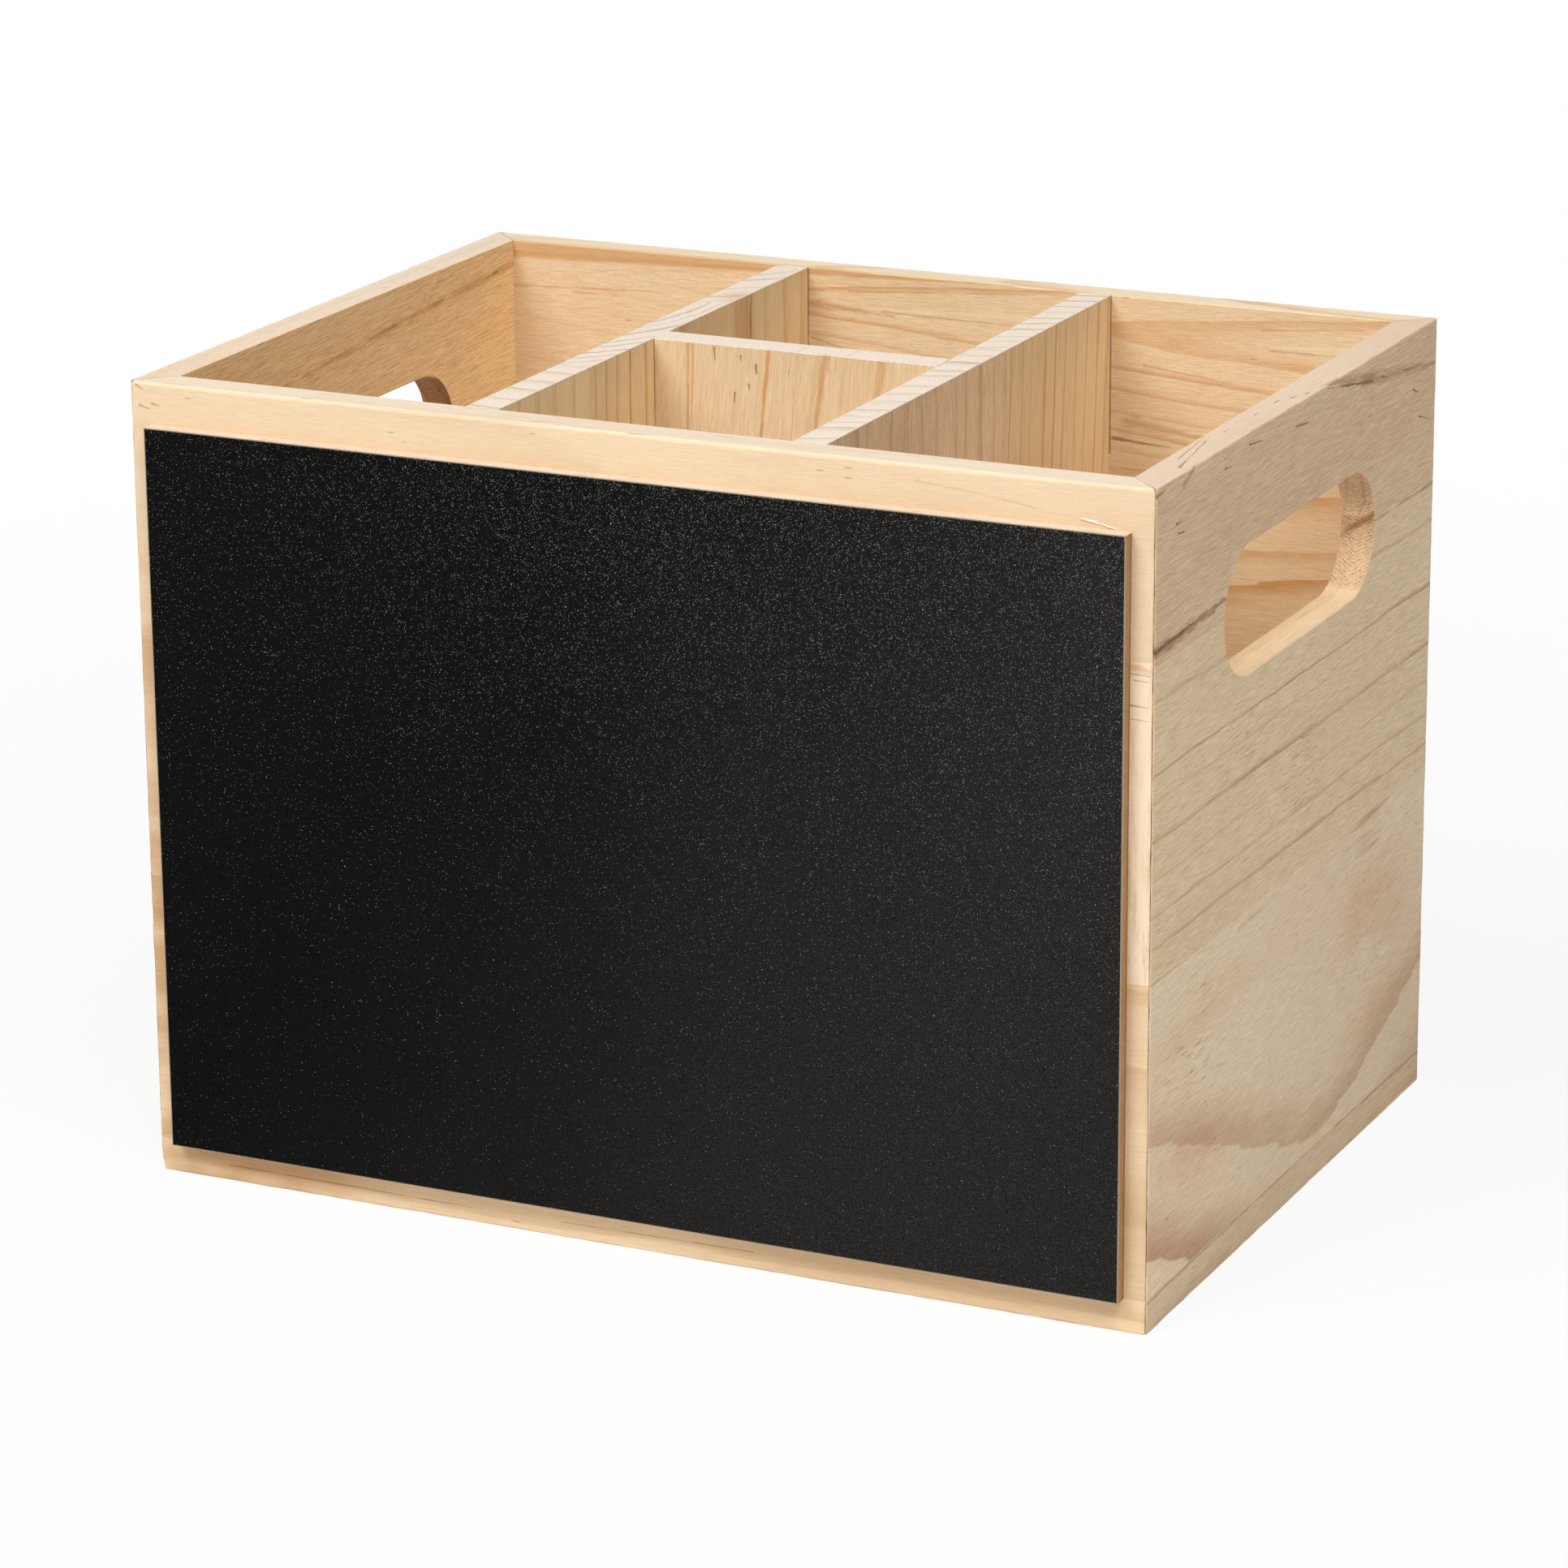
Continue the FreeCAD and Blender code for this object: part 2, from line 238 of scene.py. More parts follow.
def coat(shader, colour, height=None, strength=0.3, depth=0.2):
    """Gives a shader its colour, and a relief of some depth in millimetres."""
    colour.tree.links.new(colour.socket, shader.inputs["Base Color"])
    if height:
        relief = {"Strength": strength, "Distance": depth * MM, "Height": height}
        bump = wire(colour.tree, "Bump", relief)
        colour.tree.links.new(bump.socket, shader.inputs["Normal"])


print("helpers for groups and materials ready")

# %% [markdown]
# ## Light, floor and background
# The box stands on white between two big softboxes, high at the front left and front right, with a
# weak one in front. Steep light from both sides is what lets the photo show the inside so brightly.
# The white comes from what camera, glossy and transmission rays see, so it adds no light to the
# wood.

# %% Lamps and sky
SKY, SKY_STRENGTH = (0.93, 0.97, 1.0, 1.0), 0.06
WHITE = (1, 1, 1, 1)
LAMPS_LOOK_AT = Vector((0, 0, 0.15))
SOFTBOXES = (("right_softbox", (0.9, -0.9, 2.0), 1.2, 36.0), ("left_softbox", (-0.7, -1.3, 2.0), 1.2, 34.0),
             ("front_softbox", (-0.75, -2.15, 1.35), 1.7, 12.5))


def seen_directly(tree):
    """1 for rays of the camera, of gloss and through glass, 0 for light that bounces about."""
    path = tree.nodes.new("ShaderNodeLightPath").outputs
    camera_ray, glossy, through = (Wire(path[f"Is {ray} Ray"])
                                   for ray in ("Camera", "Glossy", "Transmission"))
    return reckon("MAXIMUM", reckon("MAXIMUM", camera_ray, glossy), through)


def show_white(tree, share, plain, white, output):
    """Shows the white shader by a share, and the plain one otherwise."""
    both = wire(tree, "MixShader", {0: share, 1: plain, 2: white})
    tree.links.new(both.socket, tree.nodes[output].inputs["Surface"])


for name, place, size, power in SOFTBOXES:
    bpy.ops.object.light_add(type="AREA", location=place)
    lamp = bpy.context.object
    lamp.name = name
    lamp.data.shape = "SQUARE"
    lamp.data.size = size
    lamp.data.energy = power
    lamp.rotation_euler = (LAMPS_LOOK_AT - Vector(place)).to_track_quat("-Z", "Y").to_euler()
    print(name, power, "W")
world = bpy.data.worlds.new("studio")
world.use_nodes = True
bpy.context.scene.world = world
sky = world.node_tree.nodes["Background"]
sky.inputs["Color"].default_value = SKY
sky.inputs["Strength"].default_value = SKY_STRENGTH
white = wire(world.node_tree, "Background", {"Color": WHITE, "Strength": 1.0})
show_white(world.node_tree, seen_directly(world.node_tree), Wire(sky.outputs[0]), white, "World Output")

# %% [markdown]
# Near the box the floor mixes that white with a plain matt floor, which keeps a soft shadow. A white
# floor alone would leave the box hovering.

# %% The white floor
FLOOR_SIZE = 14.0
FLOOR_GREY = (0.78, 0.78, 0.78, 1)
SHADOW_REACH = (0.2, 0.75)
WHITE_NEAR, WHITE_FAR = 0.88, 1.0
bpy.ops.mesh.primitive_plane_add(size=FLOOR_SIZE)
floor = bpy.context.object
floor.name = "studio_floor"
floor_paint = bpy.data.materials.new("white_floor")
floor_paint.use_nodes = True
tree = floor_paint.node_tree
tree.nodes.remove(tree.nodes["Principled BSDF"])
matt = wire(tree, "BsdfDiffuse", {"Color": FLOOR_GREY})
glow = wire(tree, "Emission", {"Color": WHITE, "Strength": 1.0})
share = ramp(reckon("LENGTH", place_on(tree)), *SHADOW_REACH, WHITE_NEAR, WHITE_FAR)
show_white(tree, seen_directly(tree) * share, matt, glow, "Material Output")
floor.data.materials.append(floor_paint)
bpy.context.scene.view_settings.view_transform = "Standard"
print("floor is white from", SHADOW_REACH[1], "m outward")

# %% [markdown]
# ## Bench helpers
# Boards are made the way a joiner makes them. A blank is sawn to size, then cut, ploughed and eased.
# In Blender a cube is the blank, bisect is the saw, and bevel is the plane that takes off an arris.
# Operators act on what is selected, so every cut first says which faces, edges or points it takes.

# %% Helpers that cut and plane
FINE = 1e-7
SAME_PLACE, BESIDE = 2e-5, 1e-5


def bench_mode(mode):
    """Changes between object mode and edit mode."""
    bpy.ops.object.mode_set(mode=mode)


def saw_blank(name, low, high):
    """A rectangular blank between two corners, left open in edit mode on the bench."""
    bpy.ops.object.select_all(action="DESELECT")
    low, high = Vector(low), Vector(high)
    bpy.ops.mesh.primitive_cube_add(size=1.0, location=(low + high) / 2, scale=high - low)
    bpy.ops.object.transform_apply(location=True, rotation=True, scale=True)
    board = bpy.context.object
    board.name = board.data.name = name
    bench_mode("EDIT")
    return board


def saw(point, normal, drop=False):
    """Cuts through the whole board; with drop, what lies in front of the plane falls off."""
    bpy.ops.mesh.select_all(action="SELECT")
    bpy.ops.mesh.bisect(plane_co=point, plane_no=normal, use_fill=drop, clear_outer=drop, threshold=FINE)


def pick(board, kind, wanted):
    """Selects only the faces, edges or points that pass a test, and counts them."""
    bpy.ops.mesh.select_mode(type={"faces": "FACE", "edges": "EDGE", "verts": "VERT"}[kind])
    bpy.ops.mesh.select_all(action="DESELECT")
    mesh = bmesh.from_edit_mesh(board.data)
    mesh.normal_update()
    chosen = [part for part in getattr(mesh, kind) if wanted(part)]
    for part in chosen:
        part.select_set(True)
    mesh.select_flush_mode()
    bmesh.update_edit_mesh(board.data)
    return len(chosen)


def middle(part):
    """The middle of an edge or a face."""
    return sum((corner.co for corner in part.verts), Vector()) / len(part.verts)


def near(a, b, gap=SAME_PLACE):
    """Whether two measures are the same place."""
    return abs(a - b) < gap


def square_to(edge, axis):
    """Whether an edge keeps to one place on an axis."""
    return near(edge.verts[0].co[axis], edge.verts[1].co[axis])


def ease(board, wanted, radius, segments):
    """Rounds the edges that pass a test."""
    if pick(board, "edges", wanted):
        bpy.ops.mesh.bevel(offset=radius, segments=segments, affect="EDGES", clamp_overlap=False)


def off_the_bench(board, crease=38.0):
    """Back to object mode, with smooth rounds beside flat faces."""
    bpy.ops.mesh.select_all(action="SELECT")
    bpy.ops.mesh.normals_make_consistent(inside=False)
    bench_mode("OBJECT")
    bpy.ops.object.shade_smooth_by_angle(angle=math.radians(crease))
    board.modifiers.new("even_shading", "WEIGHTED_NORMAL").keep_sharp = True
    bpy.ops.object.modifier_apply(modifier="even_shading")
    print(board.name, "has", len(board.data.polygons), "faces")


print("bench helpers ready")

# %% [markdown]
# ## The four walls
# A groove for the floor is ploughed along the inner face while the ends are still square, and the
# arrises are eased. Then the ends are sawn at 45 degrees, so that rounds and groove meet in the
# corners by themselves. Beveling after the mitre would leave small steps there.

# %% Measures of the walls
WALL_LOW = Vector((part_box("left_wall")[0].x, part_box("front_wall")[0].y, 0.0))
WALL_HIGH = Vector((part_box("right_wall")[1].x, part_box("back_wall")[1].y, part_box("right_wall")[1].z))
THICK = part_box("front_wall")[1].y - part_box("front_wall")[0].y
GROOVE_PLAY = 0.1 * MM
GROOVE = (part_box("base_panel")[0].z - GROOVE_PLAY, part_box("base_panel")[1].z + GROOVE_PLAY)
GROOVE_DEPTH = 4.0 * MM
CORNER_ROUND, ARRIS, INNER_ARRIS = 1.1 * MM, 0.5 * MM, 0.2 * MM
RIM_ROUND = {"front_board": 0.9 * MM, "back_board": 0.9 * MM, "left_board": 0.5 * MM, "right_board": 0.4 * MM}
WALL_RUNS = (("front_board", 0, -1), ("back_board", 0, 1), ("left_board", 1, -1), ("right_board", 1, 1))
for corner in (WALL_LOW, WALL_HIGH):
    print("a corner of the walls is at", [round(c / MM, 2) for c in corner])


# %% A wall blank with groove, eased arrises and mitred ends
def mill_wall(name, along, out, rim_round):
    """One wall: its length runs on axis along (0 for X, 1 for Y), and out is the side it faces."""
    across = 1 - along
    low, high = WALL_LOW.copy(), WALL_HIGH.copy()
    if out < 0:
        high[across] = low[across] + THICK
    else:
        low[across] = high[across] - THICK
    outer, inner = (high[across], low[across]) if out > 0 else (low[across], high[across])
    board = saw_blank(name, low, high)
    for height in GROOVE:
        saw((0, 0, height), UP)
    pick(board, "faces", lambda f: near(middle(f)[across], inner) and GROOVE[0] < middle(f).z < GROOVE[1])
    sink = Vector()
    sink[across] = out * GROOVE_DEPTH
    bpy.ops.mesh.extrude_region_move(TRANSFORM_OT_translate={"value": sink})
    ends = (low[along], high[along])
    ease(board, lambda e: any(near(e.verts[0].co[along], end) for end in ends) and square_to(e, along)
         and all(near(v.co[across], outer) for v in e.verts), CORNER_ROUND, 6)
    for level, face, radius in ((high.z, outer, rim_round), (high.z, inner, INNER_ARRIS),
                                (low.z, outer, ARRIS), (low.z, inner, ARRIS)):
        reach = BESIDE + (CORNER_ROUND if face == outer else 0.0)
        ease(board, lambda e: all(near(v.co.z, level) for v in e.verts)
             and abs(middle(e)[across] - face) < reach and not square_to(e, along), radius, 4)
    for end, side in zip(ends, (-1, 1)):
        corner, toward = Vector(), Vector()
        corner[along], corner[across] = end, outer
        toward[along], toward[across] = side, -out
        saw(corner, toward, drop=True)
    bench_mode("OBJECT")
    print(name, "milled:", len(board.data.polygons), "faces")
    return board


walls = {name: mill_wall(name, along, out, RIM_ROUND[name]) for name, along, out in WALL_RUNS}

# %% [markdown]
# ## Open corner joints
# The mitres of the real box don't close perfectly: a fine dark line runs over the rim and down each
# corner. A narrow chamfer on both boards makes that line as a real V-shaped groove. A painted line
# would be simpler, but it would not catch the light like an edge.

# %% Chamfer the mitres
JOINT_CHAMFER = 0.12 * MM
SMALLEST_CUT = 1e-5
CORNERS = [(x, y) for x in (WALL_LOW.x, WALL_HIGH.x) for y in (WALL_LOW.y, WALL_HIGH.y)]


def slanted(normal, slack, least):
    """Whether a face looks halfway between X and Y."""
    return near(abs(normal.x), abs(normal.y), slack) and abs(normal.x) > least


def on_mitre(face):
    """Whether a face is one of the 45 degree saw cuts."""
    return slanted(face.normal, 1e-3, 0.7) and face.calc_area() > SMALLEST_CUT


def at_arris(point):
    """Whether a point lies on one of the four outer upright arrises."""
    return min(abs(point.x - x) + abs(point.y - y) for x, y in CORNERS) < 2 * CORNER_ROUND


for board in walls.values():
    bpy.context.view_layer.objects.active = board
    bench_mode("EDIT")
    ease(board, lambda e: any(on_mitre(f) for f in e.link_faces) and middle(e).z > 2 * ARRIS
         and (at_arris(middle(e)) or near(middle(e).z, WALL_HIGH.z, ARRIS)), JOINT_CHAMFER, 1)
    bench_mode("OBJECT")
    print(board.name, "has its joint chamfers:", len(board.data.polygons), "faces")

# %% [markdown]
# ## Hand-holds
# Each side wall has a slot with round ends, routed right through. A cylinder whose two halves are
# pulled apart is exactly that shape, so it serves as the cutter of a Boolean. Its rims are then
# broken with a very small bevel, as fine sandpaper does.

# %% Rout the hand-holds
SLOT_MIDDLE = Vector((0.0, 1.725, 150.8)) * MM
SLOT_RADIUS, SLOT_HALF_RUN, SLOT_EASE = 15.0 * MM, 33.0 * MM, 0.3 * MM
ON_SLOT = 6e-5


def slot_reach(point):
    """How far a point is from the middle line of the slot, seen from the side."""
    past = max(abs(point.y - SLOT_MIDDLE.y) - SLOT_HALF_RUN, 0.0)
    return math.hypot(past, point.z - SLOT_MIDDLE.z)


def carve(board, cutter):
    """Takes the shape of one object out of a board."""
    bpy.ops.object.select_all(action="DESELECT")
    board.select_set(True)
    bpy.context.view_layer.objects.active = board
    boolean = board.modifiers.new("cut", "BOOLEAN")
    boolean.operation, boolean.object = "DIFFERENCE", cutter
    bpy.ops.object.modifier_apply(modifier="cut")


def rout_hand_hold(board, side):
    """Cuts the slot through one side wall."""
    middle_x = side * (WALL_HIGH.x - THICK / 2)
    bpy.ops.object.select_all(action="DESELECT")
    bpy.ops.mesh.primitive_cylinder_add(vertices=90, radius=SLOT_RADIUS, depth=3 * THICK,
                                        location=(middle_x, SLOT_MIDDLE.y, SLOT_MIDDLE.z),
                                        rotation=(0, math.pi / 2, 0))
    bpy.ops.object.transform_apply(location=True, rotation=True, scale=True)
    cutter = bpy.context.object
    bench_mode("EDIT")
    for way in (-1, 1):
        pick(cutter, "verts", lambda v: way * (v.co.y - SLOT_MIDDLE.y) > FINE)
        bpy.ops.transform.translate(value=(0, way * SLOT_HALF_RUN, 0))
    bench_mode("OBJECT")
    carve(board, cutter)
    bpy.data.objects.remove(cutter)
    bench_mode("EDIT")
    faces = (side * WALL_HIGH.x, side * (WALL_HIGH.x - THICK))
    ease(board, lambda e: any(all(near(v.co.x, x) for v in e.verts) for x in faces)
         and all(near(slot_reach(v.co), SLOT_RADIUS, ON_SLOT) for v in e.verts), SLOT_EASE, 2)
    bench_mode("OBJECT")
    print(board.name, "has its hand-hold:", len(board.data.polygons), "faces")


rout_hand_hold(walls["left_board"], -1)
rout_hand_hold(walls["right_board"], 1)

# %% [markdown]
# ## Knocked corner
# The lower left corner of the front has lost its point: a long shallow flat was knocked or sanded off
# there. Three points on the edges around the corner fix the plane of that flat. A block is sawn along
# the plane, and what is left of it, a wedge outside the flat, is taken out of both boards.

# %% Take the point off the knocked corner
FLAT = ((-125.0, -87.8, 5.5), (-125.0, -60.0, 0.0), (-123.8, -87.8, 0.0))
WEDGE = ((-140.0, -110.0, -20.0), (-110.0, -40.0, 15.0))
a, b, c = (Vector(point) * MM for point in FLAT)
inward = (b - a).cross(c - a)
if inward.z < 0:
    inward.negate()
wedge = saw_blank("wedge", *(Vector(corner) * MM for corner in WEDGE))
saw(a, inward, drop=True)
bench_mode("OBJECT")
for name in ("front_board", "left_board"):
    carve(walls[name], wedge)
    print(name, "has its knocked corner:", len(walls[name].data.polygons), "faces")
bpy.data.objects.remove(wedge)

# %% [markdown]
# ## Staves and worn arrises
# A wall isn't one plank. It is glued up from staves about 72 mm wide, and each stave came from
# another log, so its tone and grain change sharply at a glue line. Cutting the mesh along those
# lines lets every stave have its own material. More cuts give the arrises points, which are shifted
# a few hundredths at random, with a fixed seed, as sanding and handling leave them.

# %% Cut the glue lines and wear the arrises
# Height of each line at the middle of the wall in millimetres, and its slope along the wall.
GLUE_LINES = {
    "front_board": ((8.0, 0.0), (77.0, 0.032), (147.5, 0.044)),
    "back_board": ((14.0, 0.0), (85.5, -0.006), (152.0, -0.004)),
    "left_board": ((8.3, 0.0), (80.5, 0.0), (150.0, 0.01)),
    "right_board": ((8.3, 0.0), (80.5, 0.0), (151.9, 0.0)),
}
WEAR_STEP, WEAR, FLUSH = 3.7 * MM, 0.07 * MM, 0.03 * MM
FIRST_WALL_SEED = 3


def wear_wall(board, along, out, rim_round, seed):
    """Cuts one wall along its glue lines, and roughens its outer arrises."""
    across = 1 - along
    bpy.context.view_layer.objects.active = board
    bench_mode("EDIT")
    for height, slope in GLUE_LINES[board.name]:
        tilt = Vector(UP)
        tilt[along] = -slope
        saw((0, 0, height * MM), tilt)
    span = Vector()
    span[along] = 1.0
    for step in range(1, int((WALL_HIGH[along] - WALL_LOW[along]) / WEAR_STEP)):
        saw(span * (WALL_LOW[along] + step * WEAR_STEP), span)
    for step in range(1, int(WALL_HIGH.z / WEAR_STEP)):
        saw((0, 0, step * WEAR_STEP), UP)
    outer = WALL_HIGH[across] if out > 0 else WALL_LOW[across]
    ends = (WALL_LOW[along], WALL_HIGH[along])

    def on_arris(v):
        gaps = [WALL_HIGH.z - v.co.z, v.co.z, abs(v.co[across] - outer)]
        gaps.append(min(abs(v.co[along] - end) for end in ends))
        return sum(FLUSH < gap < max(rim_round, CORNER_ROUND) for gap in gaps) >= 2

    print(board.name, "arris points:", pick(board, "verts", on_arris))
    bpy.ops.transform.vertex_random(offset=WEAR, uniform=0.0, normal=1.0, seed=seed)
    off_the_bench(board)


for seed, (name, along, out) in enumerate(WALL_RUNS, start=FIRST_WALL_SEED):
    wear_wall(walls[name], along, out, RIM_ROUND[name], seed)

# %% [markdown]
# ## Dividers
# The three dividers stand with the grain upright, so their top edges are end grain, fresh from the
# saw. Fibres tear out there, which leaves a furry, uneven arris. Closely spaced cuts along the
# board and a random shift of the points on the arris give that torn look.

# %% Saw the dividers
TORN_STEP, TORN, NOT_TORN = 1.15 * MM, 0.025 * MM, 0.02 * MM
DIVIDER_ARRIS, END_GAP = 0.24 * MM, 0.4 * MM
LEVELS = 7
FIRST_DIVIDER_SEED = 11
DIVIDER_RUNS = (("left_partition", "left_divider", 1), ("right_partition", "right_divider", 1),
                ("cross_partition", "cross_divider", 0))
DIVIDER_LINES = {"left_partition": (-34.6, 37.4), "right_partition": (-52.5, 19.4),
                 "cross_partition": (-17.5,)}


def saw_divider(name, node, along, seed):
    """One divider with torn top arrises and eased upright ends."""
    low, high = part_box(node)
    across = 1 - along
    board = saw_blank(name, low, high)
    ease(board, lambda e: all(near(v.co.z, high.z) for v in e.verts) and square_to(e, across),
         DIVIDER_ARRIS, 2)
    ease(board, lambda e: square_to(e, along) and square_to(e, across), END_GAP, 1)
    span = Vector()
    span[along] = 1.0
    for line in DIVIDER_LINES[name]:
        saw(span * line * MM, span)
    for step in range(1, int((high[along] - low[along]) / TORN_STEP)):
        saw(span * (low[along] + step * TORN_STEP), span)
    for step in range(1, LEVELS):
        saw((0, 0, low.z + (high.z - low.z) * step / LEVELS), UP)
    faces = (low[across], high[across])
    pick(board, "verts", lambda v: NOT_TORN < high.z - v.co.z < DIVIDER_ARRIS * 0.98
         and min(abs(v.co[across] - face) for face in faces) < DIVIDER_ARRIS)
    bpy.ops.transform.vertex_random(offset=TORN, uniform=0.0, normal=1.0, seed=seed)
    off_the_bench(board)
    return board


dividers = {name: saw_divider(name, node, along, seed)
            for seed, (name, node, along) in enumerate(DIVIDER_RUNS, start=FIRST_DIVIDER_SEED)}

# %% [markdown]
# ## Pine grain
# Wood is a solid pattern: growth rings are shells around the pith of a log, and a board shows the
# shells where the saw cut them. So the grain is worked out in the log's own frame, in millimetres
# with Z along the trunk, and faces, edges and end grain agree by themselves. Late wood darkens
# slowly and stops sharply at the outer limit of each ring. Taper makes the rings slender cones and
# crook bends the trunk, which gives tongues and arches on a flat board.

# %% Growth rings
CROOK_ROUND = 15.0


def ring_lines(given, place):
    """Late wood of the growth rings, from 0 to 1."""
    x, y, z = axes(given("Log point"))
    bend = reckon("SQRT", z * z + CROOK_ROUND ** 2) - CROOK_ROUND
    across = y + bend * given("Crook")
    radius = z * given("Taper") + reckon("SQRT", x * x + across * across)
    radius += (noise(place, (0.024, 0.024, 0.007)) - 0.5) * (given("Wander") * 4.0)
    radius += (noise(place, (0.3, 0.3, 0.03)) - 0.5) * given("Ragged")
    years = (radius + given("Phase")) / given("Ring width")
    uneven = wire(place.tree, "TexNoise", {"W": years + given("Seed"), "Scale": 0.8, "Detail": 0.0},
                  noise_dimensions="1D")
    years += (uneven - 0.5) * 0.6
    within = reckon("FRACT", years)
    late = ramp(within, given("Late start"), 0.95) ** 1.7 * ramp(within, 0.96, 1.0, 1.0, 0.0)
    vigour = wire(place.tree, "TexWhiteNoise", {"W": reckon("FLOOR", years) + given("Seed")},
                  noise_dimensions="1D") * 0.6 + 0.4
    fading = ramp(noise(place, (0.06, 0.06, 0.02)), 0.3, 0.65, 0.55, 1.0)
    return late * vigour * (fading * given("Line strength"))


print("ring_lines ready")

# %% [markdown]
# Close up, planed pine is made of fibres: streaks a few tenths of a millimetre wide and a few
# millimetres long, some darker and some lighter, the lighter ones a painted silky sheen. Resin ducts are
# short dark dashes that come in loose clusters. Both are noises stretched along the trunk. They are fixed
# to the log and shifted by a seed, so that no two staves show the same spot.

# %% Fibres and resin ducts
def fibre_marks(given, place):
    """Fibre tone around 0.5, and resin ducts from 0 to 1."""
    speck = noise(place, (6.5, 6.5, 1.3), 2.0, 0.6)
    hair = noise(place, (3.2, 3.2, 0.13), 3.0, 0.65)
    lot, distance = cells(place * (0.6, 0.6, 0.05))
    cluster = ramp(noise(place, (0.05, 0.05, 0.02), 1.0), 0.4, 0.6)
    chosen = reckon("LESS_THAN", lot, cluster * given("Resin"))
    return speck * 0.35 + hair * 0.65, ramp(distance, 0.03, 0.085, 1.0, 0.0) * chosen


print("fibre_marks ready")

# %% [markdown]
# The group joins both and colours them. End grain drinks in light, so it has paler and greyer
# colours of its own, and the rim, sanded across the fibres, is paler and less yellow than a face.

# %% Node group for pine grain
PINE_INPUTS = (
    ("Log point", "Vector", None), ("Ring width", "Float", 6.0), ("Phase", "Float", 0.0),
    ("Late start", "Float", 0.55), ("Wander", "Float", 1.5), ("Ragged", "Float", 1.5),
    ("Taper", "Float", 0.0), ("Crook", "Float", 0.0), ("Line strength", "Float", 0.8),
    ("Cloud", "Float", 0.4), ("Fibre", "Float", 0.6), ("Fleck", "Float", 0.2), ("Resin", "Float", 0.4),
    ("Seed", "Float", 0.0), ("End grain", "Float", 0.0), ("Sanded", "Float", 0.0),
    ("Rim tint", "Vector", (0.95, 1.03, 1.18)),
    ("Early", "Color", (0.75, 0.57, 0.37, 1)), ("Late", "Color", (0.5, 0.3, 0.14, 1)),
    ("Cloud colour", "Color", (0.66, 0.46, 0.3, 1)),
    ("End pale", "Color", (0.8, 0.69, 0.56, 1)), ("End dark", "Color", (0.5, 0.38, 0.29, 1)),
)
SEED_SHIFT = (37.7, -91.3, 153.1)
DUCT_BROWN = srgb(104, 70, 42)
FIBRE_AND_SHEEN_TINT = (1.2, 1.5, 1.9)


def pine_recipe(given):
    """Rings, fibres, flecks, ducts and clouds, then the colours."""
    place = given("Log point") + SEED_SHIFT * given("Seed")
    line = ring_lines(given, place)
    fibre, duct = fibre_marks(given, place)
    cloud = ramp(noise(place, (0.045, 0.045, 0.011), 3.0, 0.6), 0.38, 0.68)
    fleck = ramp(noise(place, (1.7, 1.7, 0.14), 4.0, 0.7), 0.56, 0.7) * given("Fleck")
    colour = blend(cloud * given("Cloud"), given("Early"), given("Cloud colour"))
    colour = blend(reckon("MAXIMUM", line, fleck), colour, given("Late"))
    rough = given("Fibre") * ramp(given("Sanded"), 0.0, 1.0, 1.0, 0.3)
    # Fibre tone: darker fibres, and lighter ones that are a painted sheen.
    colour = colour * (FIBRE_AND_SHEEN_TINT * ((fibre - 0.5) * rough) + (1, 1, 1))
    colour = blend(given("Sanded"), colour, colour * given("Rim tint"))
    colour = blend(duct * 0.65, colour, DUCT_BROWN)
    pores = noise(place, (2.4, 2.4, 0.5), 3.0, 0.7)
    cut_end = blend(line, given("End pale"), given("End dark")) * ramp(pores, 0.25, 0.75, 0.86, 1.08)
    colour = blend(given("End grain"), colour, cut_end)
    return colour, line * 0.15 + (duct * -0.5 + fibre)


pine_grain = node_group("pine_grain", PINE_INPUTS, (("Colour", "Color"), ("Height", "Float")), pine_recipe)

# %% [markdown]
# ## Brown streaks
# Resin and bark pockets leave brown streaks that taper along the grain. This group measures how far
# a point is from a short line, makes the limit ragged with a noise that is drawn out along the
# line, and gives back a mask that thins towards the far end.

# %% Node group for a brown streak
STREAK_INPUTS = (("Point", "Vector", None), ("Start", "Vector", (0, 0, 0)), ("End", "Vector", (0, 10, 0)),
                 ("Width", "Float", 1.0), ("Ragged", "Float", 1.0))
DRAWN_OUT, THINNED = -0.88, -0.8


def streak_recipe(given):
    """The mask of one streak, in millimetres."""
    reach = given("Point") - given("Start")
    run = given("End") - given("Start")
    share = wire(run.tree, "Clamp", {0: reach @ run / (run @ run)})
    gap = reckon("LENGTH", reach - run * share)
    along = reckon("NORMALIZE", run)
    drawn = given("Point") + along * (given("Point") @ along * DRAWN_OUT)
    rough = (noise(drawn, 1.0, 4.0, 0.7) - 0.5) * 2.4
    width = given("Width") * (share * THINNED + 1.0)
    return (ramp((rough * given("Ragged") + gap) / width, 1.0, 0.1),)


brown_streak = node_group("brown_streak", STREAK_INPUTS, (("Mask", "Float"),), streak_recipe)

# %% [markdown]
# ## Router marks
# A router leaves fine chatter marks in a slot, about three quarters of a millimetre apart. They
# slant towards each other from both faces of the board, like arrow heads. A sine of the height, with
# the distance from the middle of the board added, draws exactly that.

# %% Node group for router marks
CHATTER = 0.78
CHATTER_INPUTS = (("Point", "Vector", None), ("Middle", "Float", 121.0))


def chatter_recipe(given):
    """Waves from 0 to 1 on the walls of a slot in a board that faces along X."""
    x, _, z = axes(given("Point"))
    slant = abs(abs(x) - given("Middle")) * -0.5 + z
    shaky = noise(given("Point"), 0.8, 3.0, 0.6)
    wave = reckon("SINE", shaky * 11.0 + slant * (math.tau / CHATTER)) * 0.5 + 0.5
    skipped = ramp(noise(given("Point"), (1.1, 0.4, 1.4), 3.0, 0.7), 0.36, 0.6, 0.15, 1.0)
    return (wave * skipped,)


router_marks = node_group("router_marks", CHATTER_INPUTS, (("Wave", "Float"),), chatter_recipe)

